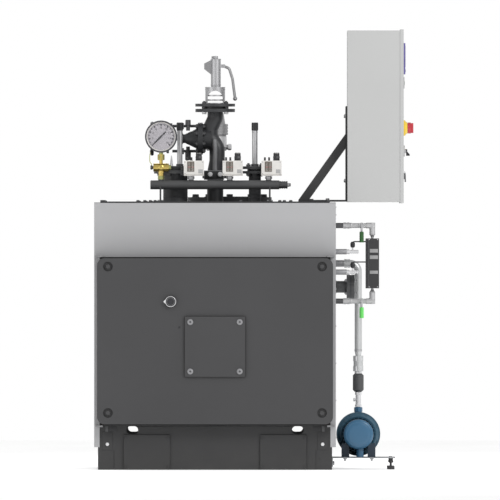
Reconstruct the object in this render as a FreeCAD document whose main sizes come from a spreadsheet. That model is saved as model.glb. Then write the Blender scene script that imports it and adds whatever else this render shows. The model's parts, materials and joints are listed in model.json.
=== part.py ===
"""Industrial steam boiler: a cased boiler on a base frame, its header and valves, level gauge, feed pump and
control cabinet.

Millimetres, +Z up. The origin is on the floor, under the middle of the casing. The door faces -Y, and the
control cabinet, level gauge and feed pump stand on the +X side.
"""

import FreeCAD, Part
import Sketcher
import math
import os

DIMENSIONS = {
    # Casing
    "casing_width": 1125,
    "casing_length": 1300,
    "casing_top": 1242,
    "casing_bottom": 105,
    "sheet": 3,
    "front_return": 25.5,
    "top_return": 26,
    "front_band_bottom": 990,
    # Base frame
    "base_inset": 17.5,
    "base_height": 210,
    "panel": 10,
    "rail_width": 60,
    "oval_length": 54,
    "oval_height": 36,
    "oval_offset": 385,
    "oval_level": 184.6,
    "fork_cover_width": 215,
    "fork_cover_height": 163,
    "fork_cover_offset": 317.5,
    "fork_cover_thick": 10,
    "fork_cover_lap": 15,
    # Furnace and flue
    "furnace_radius": 190,
    "furnace_level": 573,
    "furnace_depth": 900,
    "tube_count": 24,
    "tube_circle": 290,
    "tube_radius": 22,
    "tube_depth": 90,
    "flue_radius": 100,
    "flue_wall": 4,
    "flue_length": 140,
    "flue_level": 950,
    "flue_collar": 28,
    "flue_chamber": 120,
    # Front door
    "door_side": 13.5,
    "door_bottom": 212,
    "door_thick": 60,
    "door_gap": 7,
    "door_head_gap": 5,
    "door_corner": 35,
    "dimple_radius": 22.5,
    "dimple_inset": 51,
    "dimple_upper": 946,
    "dimple_lower": 265,
    "dimple_depth": 10,
    "lining_clear": 20,
    "lining_depth": 40,
    "hinge_inset": 10,
    "hinge_setback": 20,
    "hinge_pin_radius": 5,
    "hinge_pin_clear": 0.5,
    "hinge_pin_length": 40,
    "hinge_lug_width": 34,
    "hinge_lug_front": 11.3,
    "hinge_lug_thick": 8,
    # Burner plate and sight glass
    "burner_plate": 280,
    "burner_plate_thick": 10,
    "burner_pitch": 230,
    "burner_hole_radius": 9,
    "burner_hole_depth": 30,
    "sight_offset": 206.5,
    "sight_level": 783,
    "sight_radius": 23,
    "sight_bore": 15,
    "sight_length": 16,
    "sight_back": 4,
    # Top plate and hand-hole cover
    "top_plate_inset": 28.5,
    "top_plate_thick": 7,
    "cover_radius": 197,
    "cover_thick": 22,
    "cover_offset": 67.5,
    "cover_depth": 200,
    # Header
    "header_setback": 220,
    "header_radius": 21.2,
    "header_level": 78,
    "header_half": 300,
    "header_cap_radius": 16.5,
    "header_cap_length": 38,
    "header_vent_radius": 7,
    "header_vent_length": 15,
    "leg_thick": 8,
    "leg_depth": 40,
    "leg_offset": 255,
    "boss_radius": 13,
    "boss_rise": 25,
    "link_radius": 17,
    # Level pots and electrodes
    "pot_setback": 340,
    "pot_offset": 185.5,
    "pot_height": 131,
    "pot_left_radius": 57.15,
    "pot_left_flange": 100,
    "pot_left_flange_thick": 15,
    "head_radius": 60,
    "head_thick": 19,
    "pot_right_radius": 28.5,
    "pot_right_flange": 59,
    "pot_right_flange_thick": 12,
    "pot_right_face_radius": 35,
    "pot_right_face_gap": 9,
    "electrode_shift": 20.5,
    "electrode_radius": 12.5,
    "electrode_top": 337,
    "electrode_cap_radius": 14,
    "electrode_cap_height": 37,
    "electrode_cap_lap": 5,
    "plug_shift": 18.5,
    "plug_radius": 8,
    "plug_height": 50,
    # Riser and steam valve
    "riser_setback": 460,
    "riser_radius": 38,
    "riser_height": 109,
    "riser_flange": 60,
    "riser_flange_thick": 14,
    "valve_radius": 36,
    "valve_height": 311,
    "valve_bend_inside": 4,
    "valve_first_rise": 20,
    "valve_lower_shift": 9,
    "valve_lower_start": 105,
    "valve_lower_end": 45,
    "valve_upper_shift": 24,
    "valve_upper_start": 8,
    "valve_upper_end": 45,
    "valve_head_start": 95,
    "valve_flange": 92.5,
    "valve_flange_thick": 15,
    "raised_face": 62.5,
    "raised_step": 5.5,
    "stem_level": 295,
    "branch_radius": 50,
    "branch_root": 18,
    "bonnet_flange": 75,
    "bonnet_flange_thick": 15,
    "bonnet_face_lap": 2,
    "bonnet_cone_length": 61,
    "bonnet_neck": 21,
    "bonnet_neck_length": 12,
    "pillar_offset": 58.6,
    "pillar_radius": 6.5,
    "pillar_length": 120,
    "bridge_thick": 16,
    "bridge_width": 26,
    "stem_radius": 8,
    "stem_end_gap": 2,
    "stem_clear": 0.5,
    "stem_end": 312,
    "wheel_offset": 295,
    "wheel_radius": 72,
    "wheel_rim": 8,
    "wheel_hub": 17,
    "wheel_hub_half": 9,
    "wheel_spoke": 5,
    # Safety valve
    "safety_flange_thick": 13,
    "cage_radius": 46,
    "cage_wall": 6,
    "cage_height": 78,
    "cage_window": 35,
    "cage_window_clear": 5,
    "cage_bar": 6.5,
    "cage_bar_lower": 14,
    "cage_bar_upper": 35,
    "safety_bonnet_radius": 23,
    "safety_bonnet_height": 131,
    "safety_bonnet_shift": 3,
    "safety_knob_radius": 10,
    "safety_knob_height": 14,
    "lobe_thick": 16,
    "lobe_root": 12,
    "lobe_reach": 51,
    "lobe_top": 1,
    "lobe_upper": 21,
    "lobe_lower": 47,
    "lobe_bottom": 78,
    "lever_reach": 38,
    "lever_drop": 33,
    "lever_radius": 6.5,
    "lever_bend": 18,
    "lever_knee_reach": 27,
    "lever_knee_drop": 10,
    "lever_middle_reach": 43,
    "lever_middle_drop": 60,
    "lever_tip_reach": 55,
    "lever_tip_drop": 152,
    "lever_pin_radius": 4,
    "lever_pin_clear": 0.4,
    "lever_knob_radius": 10,
    "clevis_gap": 9,
    "clevis_cheek": 4,
    "clevis_root": 8,
    # Pressure gauge and cock
    "gauge_offset": 252,
    "gauge_radius": 75,
    "gauge_depth": 48,
    "gauge_level": 303,
    "gauge_rim": 7,
    "gauge_dial_sink": 8,
    "gauge_stem_radius": 8,
    "gauge_stem_length": 8,
    "cock_foot_radius": 12,
    "cock_body_radius": 19,
    "cock_body_half": 36,
    "cock_body_level": 159,
    "cock_nut_radius": 15,
    "cock_nut_height": 27,
    # Pressure switches
    "switch_pitch": 181,
    "switch_middle": 82,
    "switch_width": 94,
    "switch_height": 71,
    "switch_depth": 52,
    "switch_bottom": 120,
    "switch_stem_shift": 13.5,
    "switch_stem_radius": 12,
    "gland_shift": 23,
    "gland_radius": 13.5,
    "gland_height": 35,
    # Rear vent valve
    "vent_setback": 590,
    "vent_offset": 6,
    "vent_pipe_radius": 17,
    "vent_pipe_height": 239,
    "vent_body_radius": 46,
    "vent_body_height": 74,
    "vent_cap_radius": 52,
    "vent_cap_height": 51,
    "vent_cone_height": 52,
    "vent_cone_base": 41,
    "vent_cone_top": 33,
    "vent_outlet_radius": 12,
    "vent_outlet_left": 65,
    "vent_outlet_right": 70,
    # Cabinet
    "cabinet_gap": 54.5,
    "cabinet_depth": 262,
    "cabinet_width": 600,
    "cabinet_setback": 90,
    "cabinet_bottom": 1247,
    "cabinet_height": 799,
    "cabinet_wall": 3,
    "cabinet_door_thick": 17,
    "cabinet_door_gap": 5,
    "cabinet_door_over": 5,
    "knuckle_radius": 6,
    "knuckle_pin_radius": 3,
    "knuckle_clear": 0.3,
    "knuckle_height": 40,
    "knuckle_lug": 10,
    "knuckle_inset": 150,
    "knuckle_arm": 30,
    "bracket_plate": 8,
    "bracket_width": 400,
    "bracket_height": 445,
    "bracket_foot": 228,
    "brace_width": 40,
    "brace_thick": 6,
    "brace_rise": 309,
    # Fittings on the cabinet door
    "fitting_setback": 150,
    "screen_width": 190,
    "screen_height": 145,
    "screen_thick": 8,
    "screen_level": 668,
    "switch_plate_size": 72,
    "switch_plate_thick": 8,
    "switch_plate_level": 345,
    "switch_collar": 10,
    "switch_collar_root": 33,
    "switch_collar_tip": 25,
    "knob_radius": 26,
    "knob_thick": 15,
    "knob_grip": 12,
    "knob_grip_width": 12,
    "knob_grip_inset": 3,
    "knob_gap": 1,
    "selector_level": 237.5,
    "selector_radius": 9,
    "selector_length": 11,
    "selector_wing": 17,
    "selector_wing_top": 4,
    "selector_wing_bottom": 22,
    "selector_wing_tip": 15,
    "lock_level": 120,
    "lock_radius": 14,
    "lock_length": 5,
    "lock_wing": 6,
    "lock_wing_top": 26,
    "lock_wing_bottom": 27,
    "lock_wing_shoulder": 10,
    "lock_wing_slope": 4.5,
    "wing_thick": 8,
    # Level gauge
    "level_setback": 170,
    "level_upper": 1137,
    "level_lower": 784.5,
    "level_reach": 170.5,
    "level_tube_radius": 11.5,
    "level_hex_radius": 13,
    "level_hex_start": 35,
    "level_hex_end": 65,
    "level_bend": 22,
    "level_body_width": 63,
    "level_body_depth": 60,
    "level_body_height": 233,
    "level_neck_radius": 6,
    "level_neck_length": 18,
    "cock_reach": 120.5,
    "cock_boss_radius": 13,
    "cock_boss_front": 16,
    "cock_pin_radius": 5,
    "cock_pin_clear": 0.3,
    "cock_pin_depth": 7,
    "cock_lever_front": 32,
    "cock_stem_radius": 4.5,
    "cock_grip_radius": 9.75,
    "cock_grip_start": 29,
    "cock_grip_end": 79,
    # Probes on the right side
    "probe_upper": 1015,
    "probe_lower": 920,
    "probe_fitting_radius": 12,
    "probe_fitting_length": 52,
    "probe_radius": 7,
    "probe_length": 55,
    "probe_plug_reach": 79,
    "probe_plug_rise": 33,
    "probe_plug_radius": 10,
    "probe_stem_radius": 3.5,
    "lead_radius": 2.5,
    "lead_bend": 11,
    "lead_rise": 47,
    # Blowdown connection
    "blowdown_setback": 310,
    "blowdown_level": 851,
    "blowdown_radius": 27.5,
    "blowdown_length": 51.5,
    "blowdown_flange": 57.5,
    "blowdown_flange_thick": 15,
    "blowdown_face_gap": 7,
    "blowdown_face_radius": 34,
    "blowdown_circle": 42.5,
    "blowdown_hole_radius": 7,
    "blowdown_bore": 14,
    # Feed line
    "feed_setback": 450,
    "feed_gap": 4,
    "feed_level": 960,
    "feed_radius": 16.85,
    "feed_bend": 37,
    "feed_socket_radius": 15,
    "feed_socket_length": 40.5,
    "feed_union_radius": 19,
    "feed_union_length": 28,
    "feed_bottom": 551,
    "feed_taper_radius": 12.6,
    "union_top": 529,
    "union_radius": 22,
    "union_bottom": 456,
    "check_top": 446,
    "check_bottom": 360,
    "check_radius": 25.5,
    "check_chamfer": 9,
    "check_neck": 14,
    "check_tail": 9,
    # Feed pump
    "pump_lift": 3.5,
    "pump_radius": 102.5,
    "pump_depth": 90,
    "pump_outlet_radius": 16,
    "pump_outlet_rise": 23.5,
    "pump_inlet_radius": 26,
    "pump_inlet_bore": 17,
    "pump_inlet_length": 40,
    "motor_radius": 68.5,
    "motor_length": 230,
    "motor_edge": 10,
    "motor_drain_radius": 17,
    "motor_drain_shift": 7,
    "motor_drain_setback": 40,
    "motor_foot_width": 36,
    "motor_foot_length": 120,
    "motor_foot_offset": 61,
    "motor_foot_drop": 42,
    # Pump support
    "support_top": 57,
    "support_thick": 4.5,
    "support_reach": 295,
    "support_length": 360,
    "support_margin": 30,
    "support_skirt": 40,
    "foot_pad_radius": 17,
    "foot_pad_height": 15,
    "foot_stem_radius": 4,
    "foot_nut_radius": 9.5,
    "foot_nut_height": 21,
    "foot_inset": 20,
}

DOCUMENT = FreeCAD.newDocument("SteamBoiler")
PIECES = []

# Places that many sub-parts share, as expressions on the sheet.
HALF = "( casing_width / 2 )"
BASE_HALF = "( casing_width / 2 - base_inset )"
DOOR_HALF = "( casing_width / 2 - door_side )"
PLATE_HALF = "( casing_width / 2 - top_plate_inset )"
FRONT = "( - casing_length / 2 )"
REAR = "( casing_length / 2 )"
DECK = "( casing_top + top_plate_thick )"
DOOR_TOP = "( front_band_bottom - door_head_gap )"
DOOR_BACK = f"( {FRONT} - door_gap )"
DOOR_FACE = f"( {DOOR_BACK} - door_thick )"
HEADER_Y = f"( {FRONT} + header_setback )"
HEADER_Z = f"( {DECK} + header_level )"
BOSS_TOP = f"( {HEADER_Z} + boss_rise )"
POT_Y = f"( {FRONT} + pot_setback )"
POT_TOP = f"( {DECK} + pot_height )"
RISER_Y = f"( {FRONT} + riser_setback )"
VALVE_BOTTOM = f"( {DECK} + riser_height + riser_flange_thick )"
VALVE_TOP = f"( {VALVE_BOTTOM} + valve_height )"
STEM_Z = f"( {DECK} + stem_level )"
SAFETY_BOTTOM = f"( {VALVE_TOP} + 2 * raised_step )"
CAGE_BOTTOM = f"( {SAFETY_BOTTOM} + safety_flange_thick )"
CAGE_TOP = f"( {CAGE_BOTTOM} + cage_height )"
LEVER_PIVOT_Z = f"( {CAGE_TOP} + safety_bonnet_height - lever_drop )"
CABINET_X = f"( {HALF} + cabinet_gap )"
CABINET_Y = f"( {FRONT} + cabinet_setback )"
CABINET_END = f"( {CABINET_Y} + cabinet_width )"
CABINET_TOP = "( cabinet_bottom + cabinet_height )"
CABINET_DOOR_X = f"( {CABINET_X} + cabinet_depth - cabinet_door_thick )"
CABINET_FACE = f"( {CABINET_X} + cabinet_depth )"
FITTING_Y = f"( {CABINET_Y} + fitting_setback )"
LEVEL_Y = f"( {FRONT} + level_setback )"
LEVEL_X = f"( {HALF} + level_reach )"
COCK_X = f"( {HALF} + cock_reach )"
FEED_Y = f"( {FRONT} + feed_setback )"
FEED_X = f"( {HALF} + pump_radius + feed_gap )"
PUMP_Z = "( support_top + pump_radius + pump_lift )"
PUMP_TOP = f"( {PUMP_Z} + pump_radius + pump_outlet_rise )"
SUPPORT_X = BASE_HALF
SUPPORT_BOTTOM = "( support_top - support_thick )"
MOTOR_BACK = f"( {FEED_Y} - pump_depth / 2 )"
MOTOR_FACE = f"( {MOTOR_BACK} - motor_length )"
SUPPORT_Y = f"( {MOTOR_FACE} - support_margin )"


def make_sheet():
    """Put every driving dimension in a cell of its own, with its name as the alias."""
    sheet = DOCUMENT.addObject("Spreadsheet::Sheet", "Sizes")
    for row, (name, number) in enumerate(DIMENSIONS.items(), start=1):
        sheet.set(f"A{row}", name)
        sheet.set(f"B{row}", str(number))
        sheet.setAlias(f"B{row}", name)
    DOCUMENT.recompute()
    return sheet


SHEET = make_sheet()


def tied(text):
    """Return an expression with each dimension's name pointed at its cell."""
    return " ".join("Sizes." + word if word in DIMENSIONS else word for word in text.split())


def number(text):
    """Return what an expression on the sheet comes to, for a shape that is made in code."""
    return float(SHEET.evalExpression(tied(text)))


def bind(item, **expressions):
    """Bind properties of an object, or Base_x and the like of its Placement, to expressions."""
    for name, text in expressions.items():
        path = f"Placement.Base.{name[-1]}" if name.startswith("Base_") else name
        item.setExpression(path, tied(text))
    return item


def block(name, x, y, z):
    """Make a box between two expressions on each axis."""
    item = DOCUMENT.addObject("Part::Box", name)
    bind(item, Base_x=x[0], Base_y=y[0], Base_z=z[0])
    sizes = [f"( {high} ) - ( {low} )" for low, high in (x, y, z)]
    return bind(item, Length=sizes[0], Width=sizes[1], Height=sizes[2])


TURNS = {
    "x": FreeCAD.Rotation(FreeCAD.Vector(0, 1, 0), 90),
    "y": FreeCAD.Rotation(FreeCAD.Vector(1, 0, 0), -90),
    "z": FreeCAD.Rotation(),
}


def stand(item, axis, start, across):
    """Lay a round primitive along an axis, from a start on that axis and two places across it."""
    item.Placement = FreeCAD.Placement(FreeCAD.Vector(), TURNS[axis])
    others = [letter for letter in "xyz" if letter != axis]
    places = {f"Base_{axis}": start, f"Base_{others[0]}": across[0], f"Base_{others[1]}": across[1]}
    return bind(item, **places)


def rod(name, axis, span, across, radius):
    """Make a cylinder along an axis between two expressions."""
    item = stand(DOCUMENT.addObject("Part::Cylinder", name), axis, span[0], across)
    return bind(item, Radius=radius, Height=f"( {span[1]} ) - ( {span[0]} )")


def taper(name, axis, span, across, radii):
    """Make a cone along an axis, with a radius at each end."""
    item = stand(DOCUMENT.addObject("Part::Cone", name), axis, span[0], across)
    return bind(item, Radius1=radii[0], Radius2=radii[1], Height=f"( {span[1]} ) - ( {span[0]} )")


def ball(name, centre, radius):
    """Make a sphere."""
    item = DOCUMENT.addObject("Part::Sphere", name)
    return bind(item, Base_x=centre[0], Base_y=centre[1], Base_z=centre[2], Radius=radius)


def fuse(name, *items):
    """Join solids that touch into one."""
    item = DOCUMENT.addObject("Part::MultiFuse", name)
    item.Shapes = list(items)
    item.Refine = True
    return item


def cut(name, base, *tools):
    """Cut tools out of a base."""
    item = DOCUMENT.addObject("Part::Cut", name)
    item.Base = base
    item.Tool = tools[0] if len(tools) == 1 else fuse(name + "_tools", *tools)
    return item


def group(name, *items):
    """Keep solids that don't touch together."""
    item = DOCUMENT.addObject("Part::Compound", name)
    item.Links = list(items)
    return item


def made(name, shape):
    """Hold a shape that is made in code."""
    item = DOCUMENT.addObject("Part::Feature", name)
    item.Shape = shape
    return item


def piece(item, label):
    """Name a finished sub-part."""
    item.Label = label
    PIECES.append(item)
    return item


def bent_rod(name, points, bend, radius):
    """Make a round bar along straight runs joined by tangent arcs of one radius."""
    points = [FreeCAD.Vector(*(number(place) for place in point)) for point in points]
    edges = []
    start = points[0]
    for before, corner, after in zip(points, points[1:], points[2:]):
        back = (before - corner).normalize()
        ahead = (after - corner).normalize()
        half_turn = (math.pi - back.getAngle(ahead)) / 2
        reach = bend * math.tan(half_turn)
        centre_line = (back + ahead).normalize()
        middle = corner + centre_line * (bend / math.cos(half_turn) - bend)
        edges.append(Part.makeLine(start, corner + back * reach))
        edges.append(Part.Arc(corner + back * reach, middle, corner + ahead * reach).toShape())
        start = corner + ahead * reach
    edges.append(Part.makeLine(start, points[-1]))
    path = Part.Wire(edges)
    section = Part.Wire(Part.makeCircle(radius, points[0], points[1] - points[0]))
    return made(name, path.makePipeShell([section], True, True))


def flat_plate(name, outline, start, thick):
    """Make a plate from the corners of its outline across X and Z, and its start and thickness along Y."""
    corners = [FreeCAD.Vector(number(x), number(start), number(z)) for x, z in outline]
    face = Part.Face(Part.makePolygon(corners + corners[:1]))
    return made(name, face.extrude(FreeCAD.Vector(0, number(thick), 0)))


def drawn_body(name, plane, places):
    """Start a body whose sketches lie on one of its own origin planes."""
    body = DOCUMENT.addObject("PartDesign::Body", name)
    bind(body, Base_x=places[0], Base_y=places[1], Base_z=places[2])
    return body, next(item for item in body.Origin.OriginFeatures if item.Role == plane)


def sketch_on(body, plane, name):
    """Add a sketch on an origin plane of a body."""
    sketch = body.newObject("Sketcher::SketchObject", name)
    sketch.AttachmentSupport = [(plane, "")]
    sketch.MapMode = "FlatFace"
    return sketch


def fixed_distance(sketch, kind, text, *ends):
    """Add a distance constraint whose value is an expression."""
    index = sketch.addConstraint(Sketcher.Constraint(kind, *ends, number(text)))
    sketch.setExpression(f"Constraints[{index}]", tied(text))


def draw_rectangle(sketch, width, height):
    """Draw a rectangle with its centre on the sketch's origin."""
    w, h = number(width) / 2, number(height) / 2
    corners = [FreeCAD.Vector(x, y, 0) for x, y in ((-w, -h), (w, -h), (w, h), (-w, h))]
    lines = [
        sketch.addGeometry(Part.LineSegment(corner, corners[(turn + 1) % 4]))
        for turn, corner in enumerate(corners)
    ]
    for turn, line in enumerate(lines):
        sketch.addConstraint(Sketcher.Constraint("Coincident", line, 2, lines[(turn + 1) % 4], 1))
        sketch.addConstraint(Sketcher.Constraint("Horizontal" if turn % 2 == 0 else "Vertical", line))
    sketch.addConstraint(Sketcher.Constraint("Symmetric", lines[0], 1, lines[1], 2, -1, 1))
    fixed_distance(sketch, "DistanceX", width, lines[0], 1, lines[0], 2)
    fixed_distance(sketch, "DistanceY", height, lines[1], 1, lines[1], 2)


def draw_circle(sketch, x, y, radius):
    """Draw a circle whose centre is set from the sketch's origin."""
    centre = FreeCAD.Vector(number(x), number(y), 0)
    circle = sketch.addGeometry(Part.Circle(centre, FreeCAD.Vector(0, 0, 1), number(radius)))
    fixed_distance(sketch, "DistanceX", x, -1, 1, circle, 3)
    fixed_distance(sketch, "DistanceY", y, -1, 1, circle, 3)
    fixed_distance(sketch, "Radius", radius, circle)


def pad(body, sketch, name, length, reverse=False):
    """Pad a sketch of a body by an expression."""
    feature = body.newObject("PartDesign::Pad", name)
    feature.Profile = sketch
    feature.Reversed = reverse
    bind(feature, Length=length)
    sketch.Visibility = False
    DOCUMENT.recompute()
    return feature


def pocket(body, sketch, name, depth, reverse=False):
    """Pocket a sketch into a body by an expression, and make sure that it cuts."""
    before = body.Shape.Volume
    feature = body.newObject("PartDesign::Pocket", name)
    feature.Profile = sketch
    feature.Reversed = reverse
    bind(feature, Length=depth)
    DOCUMENT.recompute()
    if body.Shape.Volume >= before:
        raise RuntimeError(f"{name} cuts nothing")
    return feature


def slab(name, centre, width, height, thick):
    """Start a body as an upright plate that faces -Y, from its back face's centre."""
    body, plane = drawn_body(name, "XZ_Plane", centre)
    sketch = sketch_on(body, plane, name + "_outline")
    draw_rectangle(sketch, width, height)
    pad(body, sketch, name + "_pad", thick)
    return body, plane


def round_corners(body, name, radius):
    """Fillet the four edges of an upright plate that run front to back."""
    plate = body.Tip
    edges = []
    for index, edge in enumerate(plate.Shape.Edges, start=1):
        ends = [vertex.Point for vertex in edge.Vertexes]
        if len(ends) == 2 and abs(ends[0].x - ends[1].x) + abs(ends[0].z - ends[1].z) < 0.01:
            edges.append(f"Edge{index}")
    feature = body.newObject("PartDesign::Fillet", name)
    feature.Base = (plate, edges)
    bind(feature, Radius=radius)
    DOCUMENT.recompute()


def base_panel(label, back):
    """Make the front or rear plate of the base, with its oval holes and fork pockets."""
    outline = block(
        label + "_sheet",
        (f"- {BASE_HALF}", BASE_HALF),
        (back, f"{back} + panel"),
        ("0", "base_height"),
    )
    tools = []
    deep = (f"{back} - 1", f"{back} + panel + 1")
    for side in (-1, 1):
        middle = f"{side} * oval_offset"
        straight = "( oval_length - oval_height ) / 2"
        height = ("oval_level - oval_height / 2", "oval_level + oval_height / 2")
        span = (f"{middle} - {straight}", f"{middle} + {straight}")
        tools.append(block(f"{label}_slot", span, deep, height))
        for end in (-1, 1):
            across = (f"{middle} + {end} * {straight}", "oval_level")
            tools.append(rod(f"{label}_slot_end", "y", deep, across, "oval_height / 2"))
        pocket_half = "( fork_cover_width / 2 - fork_cover_lap )"
        cover = f"{side} * fork_cover_offset"
        across = (f"{cover} - {pocket_half}", f"{cover} + {pocket_half}")
        height = ("fork_cover_lap", "fork_cover_height - fork_cover_lap")
        tools.append(block(f"{label}_fork", across, deep, height))
    return piece(cut(label, outline, *tools), label)


def fork_covers(face):
    """Make the two plates that close the fork pockets of a base panel."""
    plates = []
    depth = (face, f"{face} + fork_cover_thick")
    for side in (-1, 1):
        middle = f"{side} * fork_cover_offset"
        span = (f"{middle} - fork_cover_width / 2", f"{middle} + fork_cover_width / 2")
        plates.append(block("fork_cover", span, depth, ("0", "fork_cover_height")))
    return plates


def make_base():
    """Make the base frame: two cross panels, two side rails and a centre rail."""
    front_back = f"( {FRONT} + sheet )"
    rear_back = f"( {REAR} - sheet - panel )"
    base_panel("base_front_panel", front_back)
    base_panel("base_rear_panel", rear_back)
    covers = fork_covers(f"( {FRONT} + sheet - fork_cover_thick )") + fork_covers(f"( {REAR} - sheet )")
    piece(group("fork_covers", *covers), "fork_covers")
    length = (f"{front_back} + panel", rear_back)
    height = ("0", "base_height")
    rails = [
        block("side_rail_left", (f"- {BASE_HALF}", f"- {BASE_HALF} + panel"), length, height),
        block("centre_rail", ("- rail_width / 2", "rail_width / 2"), length, height),
        block("side_rail_right", (f"{BASE_HALF} - panel", BASE_HALF), length, height),
    ]
    piece(group("base_rails", *rails), "base_rails")


def make_boiler_body():
    """Make the insulated body, with its furnace, its ring of smoke-tube mouths and its flue chamber."""
    shell = block(
        "body_block",
        (f"- {HALF} + sheet", f"{HALF} - sheet"),
        (f"{FRONT} + sheet", f"{REAR} - sheet"),
        ("base_height", "casing_top"),
    )
    face = f"{FRONT} + sheet"
    furnace = rod(
        "furnace",
        "y",
        (f"{face} - 1", f"{face} + furnace_depth"),
        ("0", "furnace_level"),
        "furnace_radius",
    )
    chamber = rod(
        "flue_chamber",
        "y",
        (f"{REAR} - sheet - flue_chamber", f"{REAR}"),
        ("0", "flue_level"),
        "flue_radius - flue_wall",
    )
    mouths = []
    count = int(DIMENSIONS["tube_count"])
    for turn in range(count):
        angle = f"{turn} * 360 deg / tube_count"
        across = (f"tube_circle * sin( {angle} )", f"furnace_level + tube_circle * cos( {angle} )")
        mouths.append(rod("tube_mouth", "y", (f"{face} - 1", f"{face} + tube_depth"), across, "tube_radius"))
    piece(cut("boiler_body", shell, furnace, chamber, *mouths), "boiler_body")


def make_casing():
    """Make the bright sheets round the body: two bent sides, the front band and the rear."""
    for name, side in (("casing_left", -1), ("casing_right", 1)):
        spans = []
        for width in ("sheet", "front_return", "top_return"):
            edges = [f"{side} * {HALF}", f"{side} * ( {HALF} - {width} )"]
            spans.append(edges if side < 0 else edges[::-1])
        length = (f"{FRONT} + sheet", f"{REAR} - sheet")
        wall = block(name + "_wall", spans[0], length, ("casing_bottom", "casing_top"))
        return_span = (FRONT, f"{FRONT} + sheet")
        front = block(name + "_front", spans[1], return_span, ("casing_bottom", "front_band_bottom"))
        top = block(name + "_top", spans[2], length, ("casing_top", "casing_top + sheet"))
        piece(fuse(name, wall, front, top), name)
    across = (f"- {HALF}", HALF)
    band = ("front_band_bottom", "casing_top")
    piece(block("casing_front_band", across, (FRONT, f"{FRONT} + sheet"), band), "casing_front_band")
    rear = block("rear_sheet", across, (f"{REAR} - sheet", REAR), ("base_height", "casing_top"))
    depth = (f"{REAR} - sheet - 1", f"{REAR} + 1")
    hole = rod("rear_hole", "y", depth, ("0", "flue_level"), "flue_radius - flue_wall")
    piece(cut("casing_rear", rear, hole), "casing_rear")


def make_flue():
    """Make the flue spigot on the rear, with its collar."""
    across = ("0", "flue_level")
    tube = rod("flue_tube", "y", (REAR, f"{REAR} + flue_length"), across, "flue_radius")
    collar = rod("flue_collar", "y", (REAR, f"{REAR} + 2 * sheet"), across, "flue_radius + flue_collar")
    depth = (f"{REAR} - 1", f"{REAR} + flue_length + 1")
    inside = rod("flue_inside", "y", depth, across, "flue_radius - flue_wall")
    piece(cut("flue_spigot", fuse("flue_outside", tube, collar), inside), "flue_spigot")


def make_door():
    """Make the front door with its dimples and hinge holes, its lining, burner plate and sight glass."""
    middle = f"( door_bottom + {DOOR_TOP} ) / 2"
    height = f"{DOOR_TOP} - door_bottom"
    body, plane = slab("door_slab", ("0", DOOR_BACK, middle), f"2 * {DOOR_HALF}", height, "door_thick")
    round_corners(body, "door_corners", "door_corner")
    dimples = sketch_on(body, plane, "door_dimples")
    bind(dimples, **{"AttachmentOffset.Base.z": "door_thick"})
    for side in (-1, 1):
        for level in ("dimple_upper", "dimple_lower"):
            x = f"{side} * ( {DOOR_HALF} - dimple_inset )"
            draw_circle(dimples, x, f"{level} - {middle}", "dimple_radius")
    pocket(body, dimples, "door_dimple_pocket", "dimple_depth")
    threads = sketch_on(body, plane, "door_burner_holes")
    bind(threads, **{"AttachmentOffset.Base.z": "door_thick"})
    for side in (-1, 1):
        for rise in (-1, 1):
            level = f"furnace_level - {middle} + {rise} * burner_pitch / 2"
            draw_circle(threads, f"{side} * burner_pitch / 2", level, "burner_hole_radius")
    pocket(body, threads, "door_burner_pocket", "burner_hole_depth")
    pivot = (f"- {DOOR_HALF} + hinge_inset", f"{DOOR_FACE} + hinge_setback")
    bore = "hinge_pin_radius + hinge_pin_clear"
    spans = (
        ("door_bottom - 1", "door_bottom + hinge_pin_length"),
        (f"{DOOR_TOP} - hinge_pin_length", f"{DOOR_TOP} + 1"),
    )
    bores = [rod("door_pin_hole", "z", span, pivot, bore) for span in spans]
    piece(cut("front_door_leaf", body, *bores), "front_door")

    across = ("0", "furnace_level")
    depth = (DOOR_BACK, f"{DOOR_BACK} + door_gap + sheet + lining_depth")
    lining = rod("door_lining", "y", depth, across, "furnace_radius - lining_clear")
    piece(lining, "door_lining")

    place = ("0", DOOR_FACE, "furnace_level")
    plate, plane = slab("blind_plate", place, "burner_plate", "burner_plate", "burner_plate_thick")
    holes = sketch_on(plate, plane, "burner_plate_holes")
    bind(holes, **{"AttachmentOffset.Base.z": "burner_plate_thick"})
    for side in (-1, 1):
        for rise in (-1, 1):
            x, y = f"{side} * burner_pitch / 2", f"{rise} * burner_pitch / 2"
            draw_circle(holes, x, y, "burner_hole_radius")
    pocket(plate, holes, "burner_plate_pocket", "burner_plate_thick + 1")
    piece(plate, "burner_plate")

    across = ("- sight_offset", "sight_level")
    ring = rod("sight_ring", "y", (f"{DOOR_FACE} - sight_length", DOOR_FACE), across, "sight_radius")
    depth = (f"{DOOR_FACE} - sight_length - 1", f"{DOOR_FACE} - sight_back")
    bore = rod("sight_bore", "y", depth, across, "sight_bore")
    piece(cut("sight_glass", ring, bore), "sight_glass")


def make_hinges():
    """Make the four lugs at the door's corners; the left pair carries the hinge pins."""
    lugs = []
    reach = (f"{DOOR_FACE} + hinge_setback - hinge_lug_front", FRONT)
    upper = ("front_band_bottom", "front_band_bottom + hinge_lug_thick")
    lower = ("door_bottom - door_head_gap - hinge_lug_thick", "door_bottom - door_head_gap")
    clear = "door_head_gap / 2"
    for side in (-1, 1):
        middle = f"{side} * ( {DOOR_HALF} - hinge_inset )"
        span = (f"{middle} - hinge_lug_width / 2", f"{middle} + hinge_lug_width / 2")
        for height in (upper, lower):
            lug = block("hinge_lug", span, reach, height)
            if side < 0:
                pivot = (middle, f"{DOOR_FACE} + hinge_setback")
                top = height is upper
                low = f"{DOOR_TOP} - hinge_pin_length + {clear}" if top else height[0]
                high = height[1] if top else f"door_bottom + hinge_pin_length - {clear}"
                lug = fuse("pinned_lug", lug, rod("hinge_pin", "z", (low, high), pivot, "hinge_pin_radius"))
            lugs.append(lug)
    piece(group("door_hinges", *lugs), "door_hinges")


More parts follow.
